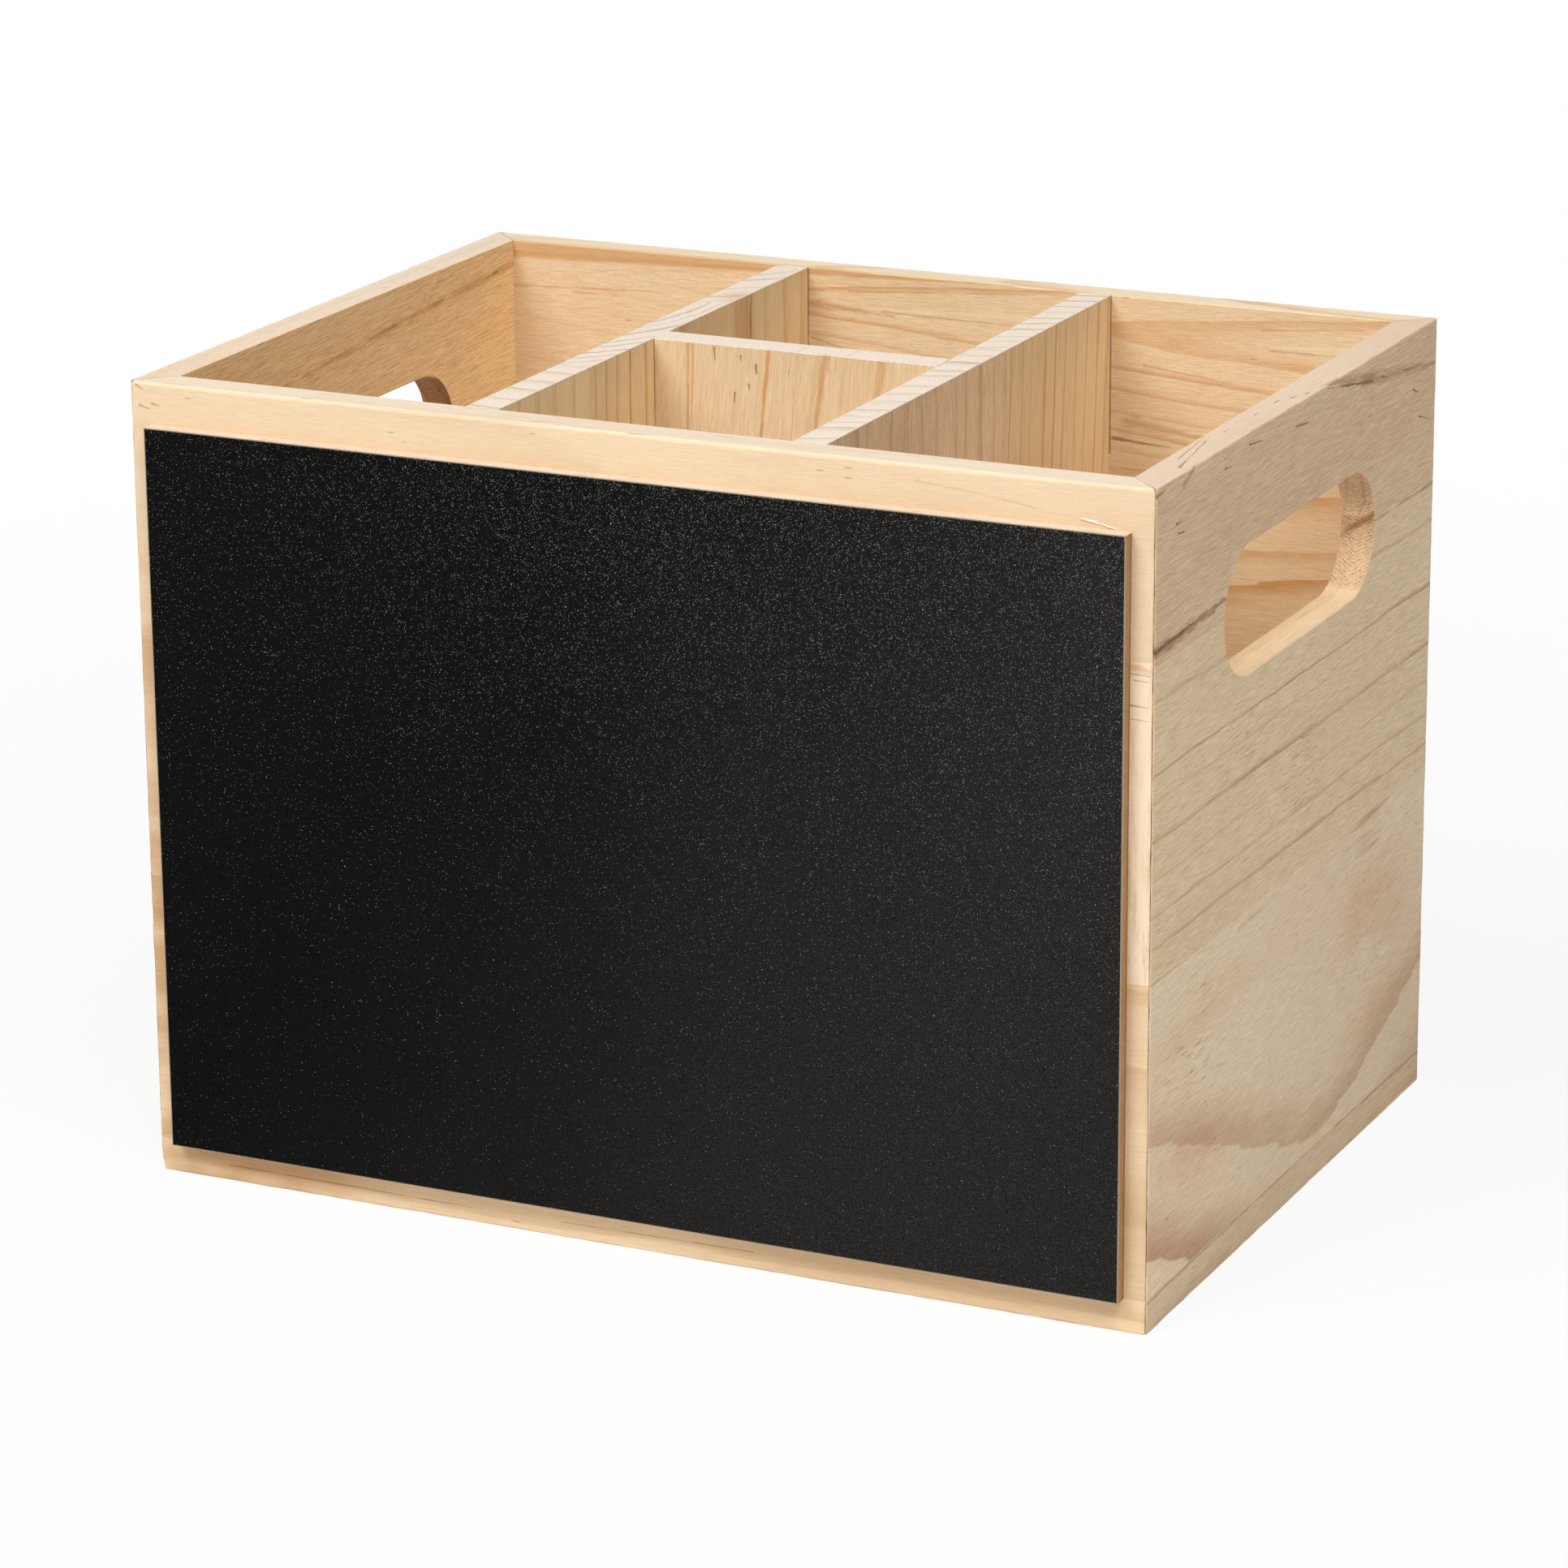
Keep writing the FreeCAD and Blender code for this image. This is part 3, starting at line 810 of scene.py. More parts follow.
# %% [markdown]
# ## Staves from different logs
# Each stave places the log it was sawn from: where the pith runs, how the trunk leans and how wide
# its rings are. A pith close to the face gives broad arches, and one far off gives straight lines.
# A Mapping node of the texture kind moves a point into the log's frame.

# %% A pine material for one stave
ALONG_X, ALONG_Y, ALONG_Z = (-90, 0, -90), (-90, 0, 0), (0, 0, 0)
AXIS = {ALONG_X: (1, 0, 0), ALONG_Y: (0, 1, 0), ALONG_Z: UP}
PLANED = dict(roughness=0.62, specular=0.2)


def pine(name, run, pith, lean=(0, 0), streaks=(), patches=(), end_from=0.75, rim=True, routed=False,
         **grain):
    """A material for wood whose pith passes through a point (mm), leaning by small angles (degrees)."""
    material, shader, place = new_material(name, **PLANED)
    point = place * (1 / MM)
    turn = [math.radians(a) for a in run]
    turn[0] += math.radians(lean[0])
    turn[1 if run == ALONG_Z else 2] += math.radians(lean[1])
    log = wire(place.tree, "Mapping", {"Vector": point, "Location": pith, "Rotation": Euler(turn)},
               vector_type="TEXTURE")
    cut_end = ramp(abs(facing(place, AXIS[run])), end_from, end_from + 0.2)
    inputs = {label.replace("_", " ").capitalize(): value for label, value in grain.items()}
    inputs.update({"Log point": log, "End grain": cut_end})
    if rim:
        inputs["Sanded"] = ramp(facing(place, UP), 0.6, 0.95)
    for label, centre, reach, extra in patches:
        gap = reckon("DISTANCE", point, centre)
        inputs[label] = ramp(gap, reach, 0.2 * reach, 0.0, extra) + inputs[label]
    colour, height = use_group(pine_grain, place.tree, inputs, "Colour", "Height")
    for start, finish, width, strength, stain, ragged in streaks:
        shape = {"Point": point, "Start": start, "End": finish, "Width": width, "Ragged": ragged}
        mask, = use_group(brown_streak, place.tree, shape, "Mask")
        colour = blend(mask * strength, colour, stain)
    if routed:
        wave, = use_group(router_marks, place.tree, {"Point": point}, "Wave")
        wave = wave * cut_end
        colour = colour * ramp(wave, 0.0, 1.0, 1.08, 0.68)
        height = wave * -1.0 + height
    coat(shader, colour, height)
    return material


def staves(board, run, first_seed, shared, *logs):
    """Materials for the staves of one board, numbered from the bottom or the front."""
    looks = tuple(pine(f"{board}_stave_{number}", run, seed=first_seed + number - 1.0, **{**shared, **log})
                  for number, log in enumerate(logs, start=1))
    print(board, "has", len(looks), "staves")
    return looks


print("pine ready for", len(AXIS), "directions")

# %% [markdown]
# ## Wood of the walls
# The colours are those of bare pine: cream early wood, honey-coloured late wood, and rosy or tan
# clouds. Streaks, resin dashes and glue lines lie exactly on a face, because a thin line that starts
# below it would hardly show. So a row gives two numbers for each end, and the face adds the third.

# %% Colours, and rows of streaks
CREAM, HONEY, ROSE, TAN = srgb(230, 205, 170), srgb(184, 138, 86), srgb(216, 180, 146), srgb(208, 174, 134)
AMBER, BROWN, UMBER = srgb(206, 152, 92), srgb(150, 102, 64), srgb(112, 74, 42)
# The second colour here is a painted sheen: pale light on the grain, laid in as colour.
OLIVE, SHEEN_PALE = srgb(150, 116, 70), srgb(246, 224, 188)
DASH_WIDTH = 0.45
# Faces: the axis that a face looks along, and where on that axis it is, in millimetres.
FRONT_FACE, RIGHT_FACE, RIM = (1, -87.8), (0, 125), (2, 190.8)
BACK_INSIDE, UNDER_BACK, LEFT_INSIDE = (1, 82.9), (1, 83), (0, -117)


def tones(early, late, cloud_colour):
    """The three colours of one wood."""
    return dict(early=early, late=late, cloud_colour=cloud_colour)


def on_face(face, *rows):
    """Streaks on a face. A row has both ends, width, strength, stain and perhaps how ragged it is."""
    axis, level = face

    def lift(end):
        return (*end[:axis], level, *end[axis:])
    return tuple((lift(row[:2]), lift(row[2:4]), *row[4:7], row[7] if row[7:] else 0.9 * row[4])
                 for row in rows)


def dashes(face, stain, strength, *rows):
    """Short thin streaks that share stain and strength. A row has both ends."""
    return on_face(face, *((*row, DASH_WIDTH, strength, stain) for row in rows))


FRESH = tones(CREAM, HONEY, ROSE)
WARM = tones(srgb(234, 206, 166), AMBER, srgb(226, 190, 146))
print("colours and faces ready")

# %% [markdown]
# The front is plain and pale, darker towards the left. A streak of painted light runs down its right edge,
# lifting the strip that the board's shadow darkens, and small dark lines cross the right end beside the
# board.

# %% Staves of the front wall
low_lines = on_face(FRONT_FACE, (-106, 3.8, -30, 3.4, 0.35, 0.6, BROWN), (30, 4.2, -20, 3.6, 0.3, 0.5, BROWN))
# The first row is painted light: a broad pale streak that lifts the strip darkened by the board's shadow.
end_lines = on_face(
    FRONT_FACE, (122.5, 180, 122.5, 40, 9.0, 0.7, srgb(250, 228, 198)),
    (118, 151.6, 130, 151.2, 1.8, 0.5, AMBER), (119, 150.2, 126, 149.9, 0.3, 0.7, BROWN),
    (120.5, 148.8, 128, 148.6, 0.3, 0.6, BROWN), (119, 143.2, 126, 143, 0.3, 0.7, BROWN),
    (120, 140.2, 125, 140, 0.3, 0.5, BROWN))
top_lines = on_face(FRONT_FACE, (70, 187.2, 104, 184, 0.4, 0.3, AMBER), (90, 185.2, 98, 184, 0.3, 0.4, HONEY))
top_lines += dashes(
    FRONT_FACE, BROWN, 0.6, (-123.2, 190, -121.5, 189), (-122.5, 185.3, -120, 184.6),
    (-119.2, 186, -117, 185.4))
top_lines += dashes(
    RIM, BROWN, 0.4, (-91, -81.6, -88, -81.5), (-80.5, -86.9, -78, -87), (-78.5, -82.3, -74, -82.2),
    (-66, -85.1, -61.5, -85.1), (-43.5, -80.2, -39.5, -81.5), (-31, -83.7, -24.5, -83.6),
    (-23, -85.4, -12.5, -83.9), (-10, -86.5, -3, -86.4), (1.5, -87.4, 7.5, -87.2), (20, -82, 29, -82.4))
front_looks = staves(
    "front", ALONG_X, 1, dict(cloud=0.4, fibre=0.35),
    dict(pith=(0, -40, 30), ring_width=9, line_strength=0.3, streaks=low_lines,
         **tones(srgb(246, 217, 178), HONEY, srgb(208, 168, 125)),
         patches=(("Cloud", (-123, -88, 4), 75.0, 1.4),)),
    dict(pith=(60, -30, 40), lean=(1, 3), ring_width=8, line_strength=0.5,
         **tones(srgb(235, 207, 170), HONEY, srgb(206, 166, 122)),
         patches=(("Cloud", (-123, -88, 34), 80.0, 1.5),)),
    dict(pith=(-30, -20, 120), lean=(1, 2), ring_width=8, line_strength=0.3, resin=0.8, streaks=end_lines,
         **tones(CREAM, HONEY, srgb(210, 172, 132)), patches=(("Cloud", (-123, -88, 100), 60.0, 1.2),)),
    dict(pith=(40, 10, 178), lean=(0, 3), ring_width=12, line_strength=0.2, cloud=0.3, fleck=0.08,
         fibre=0.32, resin=0.8, streaks=top_lines, **FRESH))

# %% [markdown]
# Only the top stave of the back wall shows, above the dividers: tongues of grain under an amber band,
# pale wedges of painted sheen between them, and a brown line of glue at each divider.

# %% Staves of the back wall
back_lines = on_face(
    UNDER_BACK, (-124, 187.4, 20, 191, 2.0, 0.75, AMBER, 0.5), (-124, 189.6, 20, 191.8, 2.6, 0.6, AMBER, 0.5),
    (-118, 179.3, -66, 181.4, 0.7, 0.5, AMBER), (46, 155.8, 66, 154.4, 0.7, 0.8, BROWN))
back_lines += on_face(
    BACK_INSIDE, (-34.9, 191, -34.9, 40, 0.4, 0.75, BROWN, 0.2),
    (45.3, 191, 45.3, 40, 0.45, 0.75, BROWN, 0.2), (-100, 179, -88, 179.3, 0.5, 0.5, AMBER),
    (-36, 182.3, -12, 180.4, 1.9, 0.6, HONEY), (50, 160, 74, 157.6, 2.2, 0.5, HONEY),
    (38, 183.6, -20, 181.9, 1.6, 0.45, SHEEN_PALE, 0.4), (112, 182.8, 86, 181.9, 1.3, 0.5, SHEEN_PALE, 0.3))
back_lines += dashes(
    BACK_INSIDE, HONEY, 0.5, (-24, 185.8, 22, 188.9), (-15, 181.4, 20, 181), (84, 185.7, 110, 188),
    (86, 180.9, 106, 181), (54, 174.4, 86, 170.9), (-34, 173.4, -25, 171.2))
back_looks = staves(
    "back", ALONG_X, 5, WARM,
    dict(pith=(0, 40, 30), ring_width=9),
    dict(pith=(0, 140, 50), lean=(0, -3), ring_width=9),
    dict(pith=(0, 130, 110), lean=(0, -3), ring_width=5, late_start=0.3, line_strength=1.0, fleck=0.4),
    dict(pith=(-20, 85.0, 182.5), lean=(0, 3), ring_width=4.9, taper=-0.09, phase=9.5, late_start=0.55,
         wander=0.8, line_strength=0.85, fibre=0.7, fleck=0.2, resin=0.6, streaks=back_lines,
         patches=(("Line strength", (-95, 83, 168), 75.0, -0.6),)))

# %% [markdown]
# The left wall is seen from inside. Its top stave is warm and full of short fibres, with a row of
# brown dashes that follow one slanting amber streak.

# %% Staves of the left wall
slanting_lines = on_face(
    LEFT_INSIDE, (94, 185.6, -70, 176, 2.2, 0.5, srgb(204, 146, 72)), (74, 184.5, 58, 183.6, 0.7, 0.8, BROWN),
    (46, 183, 34, 182.2, 0.6, 0.8, BROWN), (22, 181.6, 4, 180.6, 0.7, 0.8, BROWN),
    (-38, 178.2, -14, 179.6, 0.5, 0.7, BROWN))
left_looks = staves(
    "left", ALONG_Y, 9, WARM,
    dict(pith=(-60, 0, 40), ring_width=9),
    dict(pith=(-30, 20, 30), lean=(0, 2), ring_width=12, crook=0.2),
    dict(pith=(-90, 0, 100), ring_width=6),
    dict(pith=(-215, 0, 168), lean=(3.2, 0), ring_width=14, line_strength=0.4, fibre=1.3, fleck=0.3,
         resin=0.9, cloud=0.4, rim_tint=(0.79, 0.91, 1.26), streaks=slanting_lines,
         **tones(srgb(250, 215, 165), AMBER, srgb(246, 202, 146)),
         patches=(("Fleck", (-117, 30, 172), 50.0, 0.4), ("Cloud", (-117, -70, 170), 60.0, 0.3))))

# %% [markdown]
# The right wall shows all its staves: a broad rosy arch low down, straight lines above it, and a plain
# top stave with brown streaks and resin dashes under its rim.

# %% Staves of the right wall
foot_lines = on_face(RIGHT_FACE, (-92, 7.4, 40, 8.4, 0.7, 0.5, OLIVE), (96, 7.6, 30, 8, 0.9, 0.5, OLIVE))
glue_line = on_face(RIGHT_FACE, (92, 151, 48, 151.3, 0.8, 0.6, BROWN))
resin_lines = on_face(
    RIGHT_FACE, (-92, 154.4, -46, 156.8, 3.0, 0.7, BROWN), (-88, 155.2, -60, 156.2, 0.9, 0.85, UMBER),
    (46, 186.4, 4, 193, 2.2, 0.45, BROWN), (46, 185.2, 16, 189.9, 0.7, 0.8, UMBER),
    (40, 186.4, 100, 179, 2.6, 0.45, BROWN), (-72, 188, -64, 191.5, 1.4, 0.5, BROWN),
    (-88, 189, -82.5, 189.6, 1.0, 0.85, BROWN))
resin_lines += dashes(
    RIGHT_FACE, UMBER, 0.85, (-4, 185.7, 7, 184.5), (-33, 188.1, -23, 187.1), (-47.5, 186, -42.5, 185.7),
    (-76, 180.5, -72, 180.4), (-75, 178.2, -71, 177.8), (44, 177.2, 48, 177.2), (52, 185, 56.5, 183.9),
    (67, 183.3, 75, 182.2), (74.5, 176.9, 79, 175.4), (79, 169.6, 86.5, 167.4))
resin_lines += dashes(
    RIM, UMBER, 0.7, (119.5, -61.5, 117.4, -40.5), (122.4, -68, 118.5, -40), (119.7, -35, 119.4, -30.5),
    (120.1, -17.5, 120.2, -14.5), (120, -4.5, 120.2, -1.5), (121.9, 0.8, 122.4, 3.2), (123.5, 5.8, 123.7, 8))
right_looks = staves(
    "right", ALONG_Y, 13, {},
    dict(pith=(65, 0, 40), ring_width=9, fibre=0.8, streaks=foot_lines, **FRESH),
    dict(pith=(25, 19.2, 71), ring_width=16, phase=-4.1, late_start=0.25, crook=0.36, line_strength=1.35,
         wander=0.8, ragged=3.0, fibre=0.95, fleck=0.05, resin=0.9, cloud=0.2,
         **tones(srgb(238, 215, 183), srgb(186, 138, 100), srgb(226, 186, 152)),
         patches=(("Line strength", (125, 10, 76), 56.0, -1.6),
                  ("Fleck", (125, -60, 54), 36.0, 1.0), ("Fleck", (125, 50, 46), 34.0, 0.6),
                  ("Cloud", (125, -52, 46), 40.0, 0.8), ("Cloud", (125, 55, 52), 36.0, 0.7))),
    dict(pith=(113, 1.7, 150), lean=(-0.6, 0), ring_width=8.0, phase=-0.2, wander=0.3, late_start=0.82,
         line_strength=0.85, ragged=2.2, fibre=1.2, fleck=0.12, cloud=0.35, streaks=glue_line,
         **tones(srgb(233, 208, 171), srgb(176, 134, 88), srgb(222, 192, 154)),
         patches=(("Fleck", (125, -36, 121), 19.0, 0.7), ("Fleck", (125, 2, 101), 22.0, 1.0),
                  ("Fleck", (125, 60, 118), 26.0, 0.4))),
    dict(pith=(-25, 0, 172), ring_width=30, line_strength=0.25, resin=0.9, fibre=1.2, fleck=0.15,
         streaks=resin_lines, **tones(srgb(224, 193, 158), HONEY, ROSE)))
stave_looks = {"front_board": front_looks, "back_board": back_looks,
               "left_board": left_looks, "right_board": right_looks}

# %% [markdown]
# The slots cut across the grain, so their round ends show end grain. Above the glue line it is dark
# brown, below it pale, and both carry the router's marks. A brown smear of glue marks the line. The
# left slot was cut with a blunter bit, which scorched it.

# %% Slot walls
TOASTED = dict(end_pale=srgb(234, 199, 160), end_dark=srgb(170, 131, 98))
SCORCHED = dict(end_pale=srgb(176, 128, 80), end_dark=srgb(118, 78, 44))
PALE_END = dict(end_pale=srgb(208, 175, 137), end_dark=srgb(176, 136, 98))
SLOT_END = (1, 49.7)
SMEAR = on_face(SLOT_END, (127, 154.2, 110, 143, 1.5, 0.8, BROWN))
ROUTED = dict(end_from=0.3, rim=False, routed=True)
slot_looks = (
    pine("slot_below_glue_line", ALONG_Y, (60, 0, 143), ring_width=12, line_strength=0.3, seed=15.0,
         **tones(srgb(217, 189, 154), HONEY, TAN), **PALE_END, **ROUTED, streaks=SMEAR),
    pine("slot_above_glue_line", ALONG_Y, (60, 0, 172), ring_width=5, seed=16.0, **FRESH, **TOASTED,
         **ROUTED, streaks=SMEAR),
)
scorched_slot = pine("left_slot_above_glue_line", ALONG_Y, (-60, 0, 172), ring_width=5, seed=17.0,
                     **FRESH, **SCORCHED, **ROUTED)
print("slot walls:", [look.name for look in slot_looks], scorched_slot.name)

# %% [markdown]
# ## Wood of the dividers
# The dividers stand with the grain upright and were glued up from the same kind of staves. Their
# sawn tops are whitish end grain with grey ring lines. Each leans its log a little differently, and
# the cross divider has a few amber lines, dark dashes and a line of glue at its left end.

# %% Divider staves
UPRIGHT = tones(srgb(247, 219, 172), srgb(202, 148, 86), srgb(234, 194, 142))
ROSY = tones(srgb(246, 214, 173), srgb(198, 146, 99), srgb(234, 195, 154))
SAWN = dict(rim=False, end_pale=srgb(230, 214, 196), end_dark=srgb(158, 134, 116))
LEFT_DIVIDER_FACE, CROSS_FACE = (0, -35), (1, -2.1)
COARSE = dict(ring_width=8, line_strength=0.6, late_start=0.35, fibre=1.2, fleck=0.35, **ROSY)
RESINOUS = dict(pith=(-300, 2, 0), lean=(0, 5), ring_width=15, line_strength=0.3, late_start=0.85,
                fibre=0.6, fleck=0.3, resin=0.9, **WARM)
rosy_band = on_face(LEFT_DIVIDER_FACE, (46.5, 200, 46.5, 60, 9.5, 0.5, srgb(206, 150, 108), 2.0),
                    (50.8, 194, 49, 150, 0.8, 0.7, srgb(168, 104, 64)))
narrow_lines = on_face(
    CROSS_FACE, (-26, 192, -26.8, 150, 0.8, 0.7, AMBER), (-24.7, 192, -25.4, 172, 0.7, 0.7, AMBER),
    (-34.9, 191, -34.9, 40, 0.4, 0.75, BROWN, 0.2))
narrow_lines += dashes(CROSS_FACE, BROWN, 0.7, (-19.2, 190, -19.2, 187))
broad_lines = on_face(
    CROSS_FACE, (-4.9, 194, -9.8, 150, 1.1, 0.8, AMBER), (9.8, 194, 2.8, 150, 1.3, 0.7, AMBER),
    (8.4, 194, 1.4, 150, 2.6, 0.25, AMBER), (23.8, 194, 17.6, 150, 1.6, 0.5, AMBER))
broad_lines += dashes(CROSS_FACE, UMBER, 0.7, (-12.5, 188.6, -12.4, 186.9), (-8.6, 186.8, -8.5, 184.6),
                      (-14.1, 179.8, -14.2, 177.4), (-10.4, 182, -10.3, 180.8))
left_divider_looks = staves(
    "left_divider", ALONG_Z, 20, {**SAWN, **UPRIGHT},
    dict(pith=(-38.5, -300, 0), lean=(-2, 0), ring_width=9.0, line_strength=0.65, late_start=0.4,
         wander=1.2, ragged=2.5, **tones(srgb(254, 230, 184), srgb(218, 166, 106), srgb(248, 212, 160))),
    dict(pith=(-90.5, 30, 0), ring_width=4.2, line_strength=1.0, late_start=0.6),
    dict(pith=(-81.5, 110, 0), ring_width=7, line_strength=0.8, streaks=rosy_band))
right_divider_looks = staves(
    "right_divider", ALONG_Z, 23, SAWN,
    dict(pith=(71, -140, 0), **COARSE), dict(pith=(81, -150, 0), **COARSE),
    dict(pith=(111, -138, 0), lean=(-4, 0), ring_width=6.2, line_strength=0.9, late_start=0.7, wander=1.0,
         **UPRIGHT))
cross_divider_looks = staves("cross_divider", ALONG_Z, 26, {**SAWN, **RESINOUS},
                             dict(streaks=narrow_lines), dict(streaks=broad_lines))
divider_looks = {"left_partition": left_divider_looks, "right_partition": right_divider_looks,
                 "cross_partition": cross_divider_looks}

# %% [markdown]
# ## Open joints
# Dust and glue make the open mitres brown, in places nearly black. One noise is enough here, because
# the line is only a few tenths of a millimetre wide.

# %% Finish of the open joints
joint, shader, place = new_material("open_joint", 0.85, 0.2)
dirt = ramp(noise(place, 180, 3.0, 0.6), 0.4, 0.65)
coat(shader, blend(dirt, srgb(206, 166, 122), srgb(128, 84, 50)))
print("finish:", joint.name)

# %% [markdown]
# ## Torn end-grain arris
# Where the saw left the end grain of a divider, fibres hang on the arris: pale fluff with small
# dark gaps between. The small bevel along the top gets this finish of its own.

# %% Finish of the torn arrises
torn, shader, place = new_material("torn_fibres", 0.9, 0.1)
fluff = ramp(noise(place, (1300, 1300, 800), 3.0, 0.7), 0.38, 0.6)
coat(shader, blend(fluff, srgb(220, 202, 184), srgb(234, 219, 202)), fluff, 0.3, 0.3)
print("finish:", torn.name)

# %% [markdown]
# ## Chalkboard film
# The writing film is matt black with a fine grain. Glints where tiny facets would catch the light are
# painted in as pale sparks, most of them towards the top, and a painted sheen of reflected light makes
# the right side and the bottom a little greyer. A spark is about a fifth of a millimetre wide, so a cell
# pattern with a random number per cell suits it: only the few cells above a threshold are painted pale,
# each to its own degree. A pale hair line runs all around the edge of the film.

# %% Finish of the chalkboard film
FILM_LOW, FILM_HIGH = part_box("chalkboard_film")
SPARKS_PER_METRE = 8800.0
FILM_BLACK, SHEEN_GREY, SPARK, PALE_EDGE_LINE = srgb(11, 11, 11), srgb(38, 37, 35), srgb(246, 244, 240), srgb(214, 194, 168)
EDGE_LINE_REACH = (0.1 * MM, 0.3 * MM)


def share_of(value, low, high):
    """Where a value lies between two limits, from 0 to 1."""
    return wire(value.tree, "MapRange", {0: value, 1: low, 2: high})


film, shader, place = new_material("chalk_film", 0.5, 0.03)
x, _, z = axes(place)
rightward, upward = share_of(x, FILM_LOW.x, FILM_HIGH.x), share_of(z, FILM_LOW.z, FILM_HIGH.z)
# Painted sheen of reflected light: the black turns greyer towards the lower right.
painted_sheen = noise(place, (14, 14, 9), 4.0, 0.55) * 0.3 + (upward * -0.45 + rightward)
fine = ramp(noise(place, 3400, 2.0, 0.6), 0.3, 0.72)
colour = blend(ramp(painted_sheen, 0.1, 1.0), FILM_BLACK, SHEEN_GREY) * (fine * 1.5 + 0.27)
lot, distance = cells(place, SPARKS_PER_METRE)
# Painted glints: pale dots where facets would catch the light, crowded towards the top.
crowd = upward ** 2.2 * ramp(rightward, 0.0, 0.6, 0.35, 1.0)
bright = ramp(lot, crowd * -0.09 + 0.994, 1.0) ** 1.8
colour = blend(bright * ramp(distance, 0.25, 0.65, 1.0, 0.0), colour, SPARK)
sides = reckon("MINIMUM", x - FILM_LOW.x, FILM_HIGH.x - x)
ends = reckon("MINIMUM", z - FILM_LOW.z, FILM_HIGH.z - z)
# A pale hair line all around the edge of the film.
colour = blend(ramp(reckon("MINIMUM", sides, ends), *EDGE_LINE_REACH, 0.5, 0.0), colour, PALE_EDGE_LINE)
coat(shader, colour, fine, 0.2, 0.1)
print("finish:", film.name)

# %% [markdown]
# ## Fibreboard
# The sheet behind the film is fibreboard. Its sawn edge is an even brown with short fibres in every
# direction. The skin under the film is a thin pale line, painted paler still as a highlight of the edge,
# and the skin on the wall is dark with glue and painted contact shade.
# The upper edge was sanded down to the fibre, so it is pale and slightly pink.

# %% Finish of the fibreboard edge
SHEET_LOW, SHEET_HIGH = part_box("chalkboard_panel")
SAWN_EDGE, GLUE_AND_SHADE = srgb(184, 141, 97), srgb(146, 104, 63)
SKIN_AND_HIGHLIGHT, SANDED = srgb(206, 180, 152), srgb(216, 193, 171)
fibreboard, shader, place = new_material("fibreboard_edge", 0.85, 0.15)
layer = share_of(axes(place)[1], SHEET_LOW.y, SHEET_HIGH.y) * 2.0 - 1.0
fluff = noise(place, 1400, 4.0, 0.7)
patch = noise(place, 160)
# Painted contact shade with glue: the half of the edge towards the wall turns darker brown.
colour = blend(ramp(layer, 0.2, 1.0), SAWN_EDGE, GLUE_AND_SHADE)
# Painted highlight on a pale skin: the front of the edge, next to the film, is lighter.
colour = blend(ramp(layer, -0.72, -0.95, 0.0, 0.8), colour, SKIN_AND_HIGHLIGHT)
colour = blend(ramp(facing(place, UP), 0.5, 0.9), colour, SANDED)
tone = ramp(fluff, 0.2, 0.8, 0.8, 1.1) + ramp(patch, 0.2, 0.8, -0.08, 0.08)
coat(shader, colour * tone, fluff, 0.5, 0.3)
print("finish:", fibreboard.name)

# %% [markdown]
# ## Plywood floor
# The floor of the compartments is thin plywood. Its veneer is peeled off a turning log, so the saw
# never crosses the rings squarely and the figure is broad and blurred. The same grain group does
# that with a pith far below the sheet and rings that wander a lot.

# %% Finish of the plywood floor
plywood = pine("plywood_sheet", ALONG_X, (0, 0, -420), (0, 1.2), ring_width=2.6, line_strength=0.45,
               late_start=0.3, wander=3.0, cloud=0.5, resin=0.1, fleck=0.5, rim=False, seed=31.0,
               **tones(srgb(230, 202, 162), srgb(196, 156, 112), srgb(216, 182, 140)))
print("finish:", plywood.name)

# %% [markdown]
# ## Dried glue
# A thin bead of glue was squeezed out above the top right corner of the board and dried there. It is
# drawn as a small ring that is extruded from point to point and closed at both ends, like a bead
# from a bottle.

# %% Model the glue bead
BEAD_PATH = ((108.0, 182.8), (108.9, 182.8), (110.0, 182.5), (111.0, 182.5), (112.0, 182.1), (113.2, 182.0),
             (114.2, 181.7), (115.2, 181.6), (116.2, 181.2))
BEAD_SIZES = (0.10, 0.25, 0.18, 0.28, 0.10, 0.10, 0.22, 0.14, 0.10)
BEAD_SINK = 0.06
BEAD_SIDES = 10
BEAD_CREASE = 60.0
bpy.ops.object.select_all(action="DESELECT")
front_face = WALL_LOW.y / MM - BEAD_SINK
centres = [Vector((x, front_face, z)) * MM for x, z in BEAD_PATH]
bpy.ops.mesh.primitive_circle_add(vertices=BEAD_SIDES, radius=BEAD_SIZES[0] * MM, fill_type="NGON",
                                  location=centres[0], rotation=(0, math.pi / 2, 0))
bpy.ops.object.transform_apply(location=True, rotation=True, scale=True)
bead = bpy.context.object
bead.name = bead.data.name = "glue_bead"
bench_mode("EDIT")
bpy.ops.mesh.select_all(action="SELECT")
for before, after, old, new in zip(centres, centres[1:], BEAD_SIZES, BEAD_SIZES[1:]):
    bpy.ops.mesh.extrude_region_move(TRANSFORM_OT_translate={"value": after - before})
    bpy.ops.transform.resize(value=(new / old,) * 3, center_override=after)
off_the_bench(bead, BEAD_CREASE)
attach(bead, "root")

# %% [markdown]
# Dried wood glue is milky and a little yellow, half clear where it is thin. A soft noise between two
# creamy tones and a slight gloss are enough for a bead of half a millimetre.

# %% Finish of the glue bead
glue, shader, place = new_material("dried_glue", 0.4, 0.4)
milky = ramp(noise(place, 700), 0.35, 0.65)
coat(shader, blend(milky, srgb(232, 212, 178), srgb(248, 240, 222)))
bead.data.materials.append(glue)
print("finish:", glue.name)

# %% [markdown]
# ## Dressing the pieces
# Every face of a wall takes the finish of its stave. Faces inside a slot and faces in the groove of a
# mitre take theirs. Each new piece then rides on the one body of the frame, and the frame's node that
# it replaces is hidden.

# %% Dress the walls
TOP_STAVE, SLOT_FINISH, JOINT_FINISH = 3, 4, 6


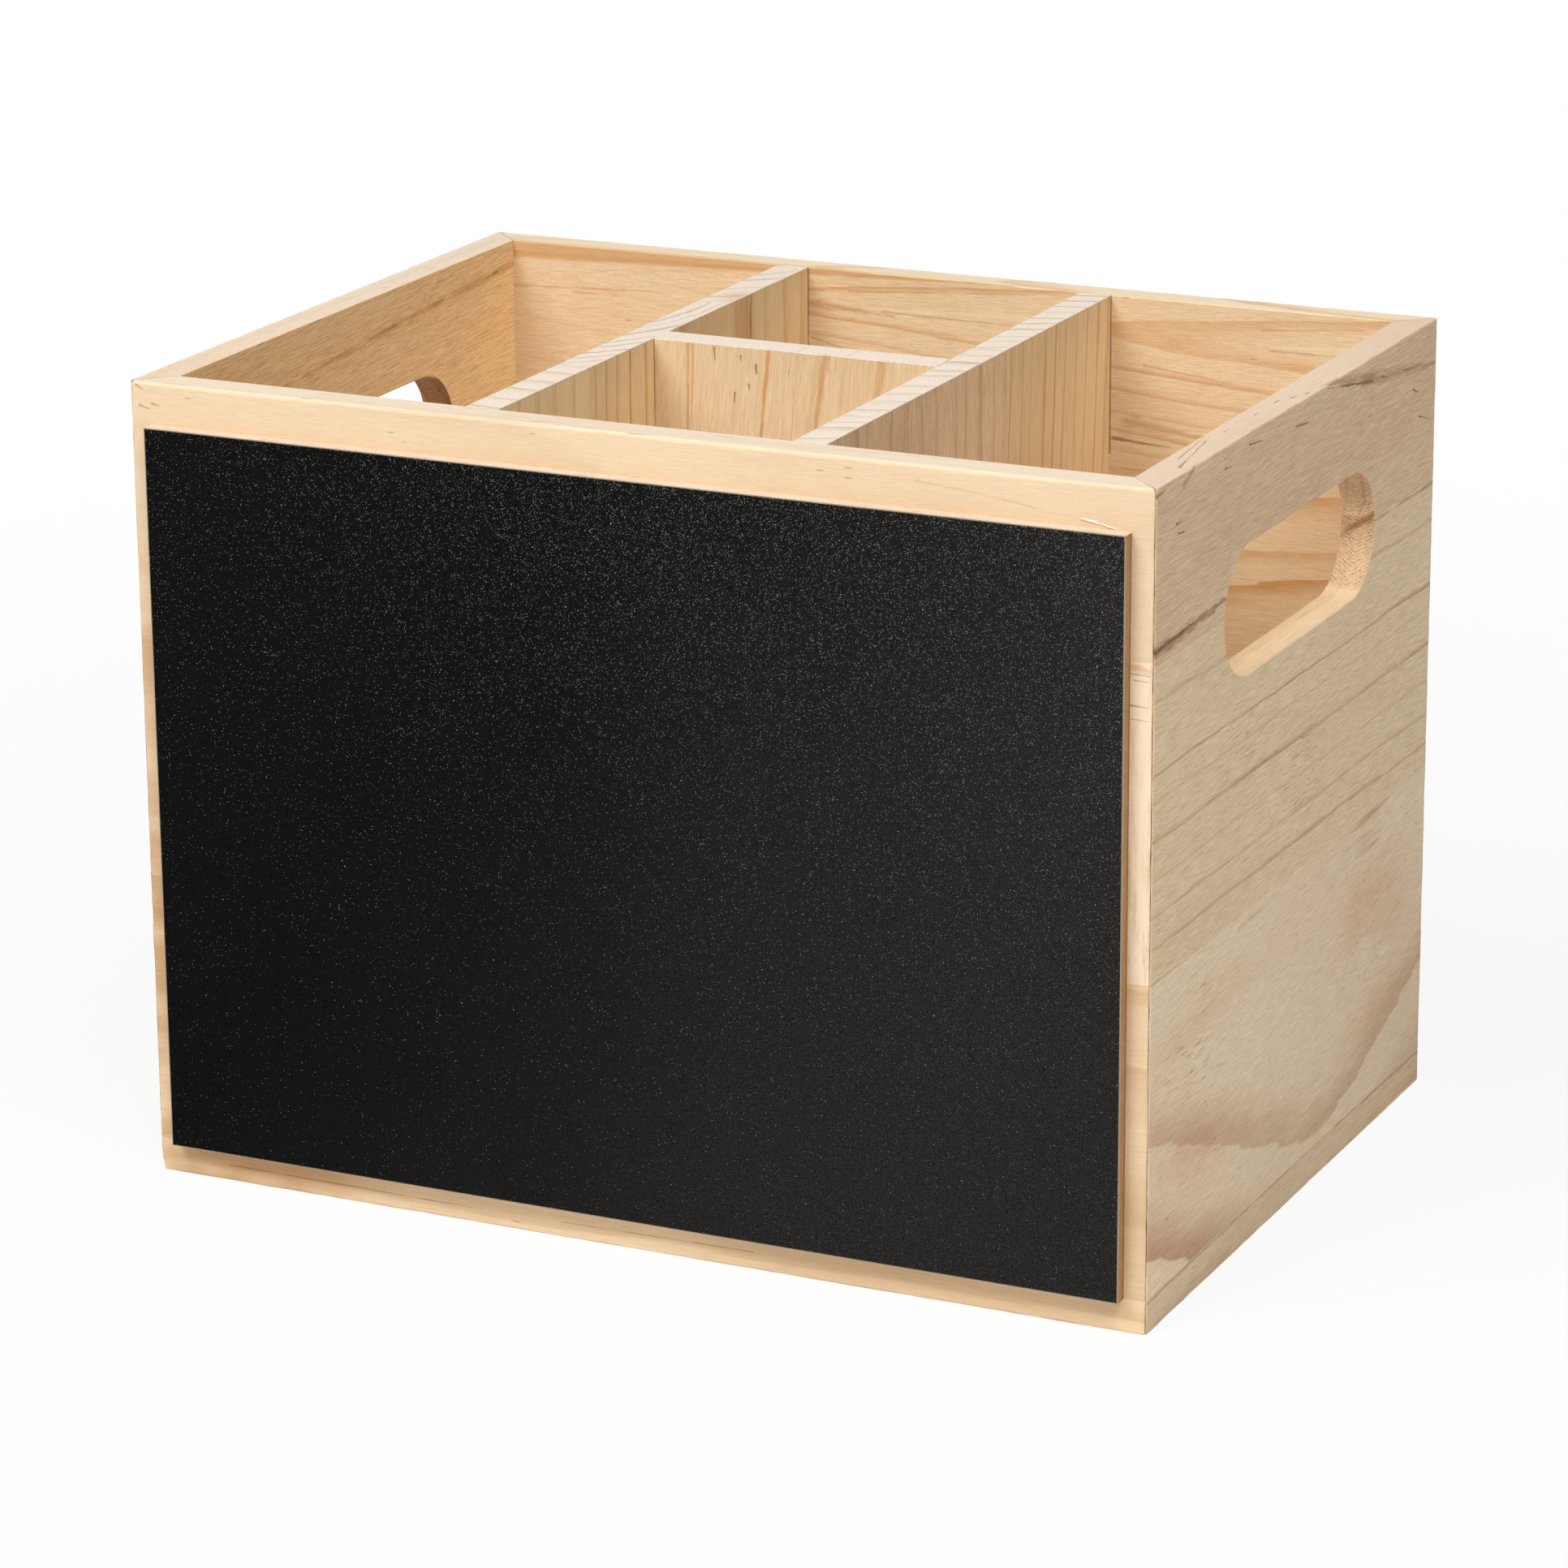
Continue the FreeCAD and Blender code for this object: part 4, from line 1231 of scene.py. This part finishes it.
def at_joint(centre):
    """Whether a place lies in the groove of a mitre."""
    for x, y in CORNERS:
        if abs(centre.x - x) < 1.3 * THICK and abs(centre.y - y) < 1.3 * THICK:
            diagonal = math.copysign(1, x) * (centre.x - x) - math.copysign(1, y) * (centre.y - y)
            return abs(diagonal) / math.sqrt(2) < 0.9 * JOINT_CHAMFER
    return False


def wall_finish(board, along, face):
    """Number of the finish of one face: the four staves, then two for the slot, then the joint."""
    centre = face.center
    stave = sum(centre.z > (height + slope * (centre[along] / MM)) * MM
                for height, slope in GLUE_LINES[board.name])
    if at_joint(centre):
        return JOINT_FINISH
    if along == 1 and slot_reach(centre) < SLOT_RADIUS + 0.6 * SLOT_EASE:
        return SLOT_FINISH + (stave == TOP_STAVE)
    return stave


def dress(board, looks, choose, node):
    """Gives each face its finish, and hands the board to the frame."""
    board.data.materials.clear()
    for look in looks:
        board.data.materials.append(look)
    for face in board.data.polygons:
        face.material_index = choose(face)
    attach(board, "root")
    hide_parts(node)
    print(board.name, "wears", len(looks), "finishes")


for name, along, out in WALL_RUNS:
    board = walls[name]
    slot_end = scorched_slot if name == "left_board" else slot_looks[1]
    looks = stave_looks[name] + (slot_looks[0], slot_end, joint)
    dress(board, looks, lambda face: wall_finish(board, along, face),
          name.replace("board", "wall"))

# %% [markdown]
# A divider's staves are told apart by its glue lines. Its torn arris and the dark gap where its ends
# meet the walls have finishes of their own. The floor, the sheet and the film keep the frame's shape,
# which is right for plain sheets, and only get their material.

# %% Dress the dividers and the parts that stay as they are
def divider_finish(name, along, face):
    """Number of the finish of one face: the staves, then the torn arris, then the gap at the walls."""
    lines = DIVIDER_LINES[name]
    if slanted(face.normal, 0.05, 0.6):
        return len(lines) + 2
    if 0.3 < face.normal.z < 0.97 and WALL_HIGH.z - face.center.z < DIVIDER_ARRIS:
        return len(lines) + 1
    return sum(face.center[along] > line * MM for line in lines)


for name, node, along in DIVIDER_RUNS:
    dress(dividers[name], divider_looks[name] + (torn, joint), lambda face: divider_finish(name, along, face),
          node)
for node, look in (("chalkboard_film", film), ("chalkboard_panel", fibreboard), ("base_panel", plywood)):
    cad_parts[node].material_slots[0].material = look
    print(node, "wears", look.name)
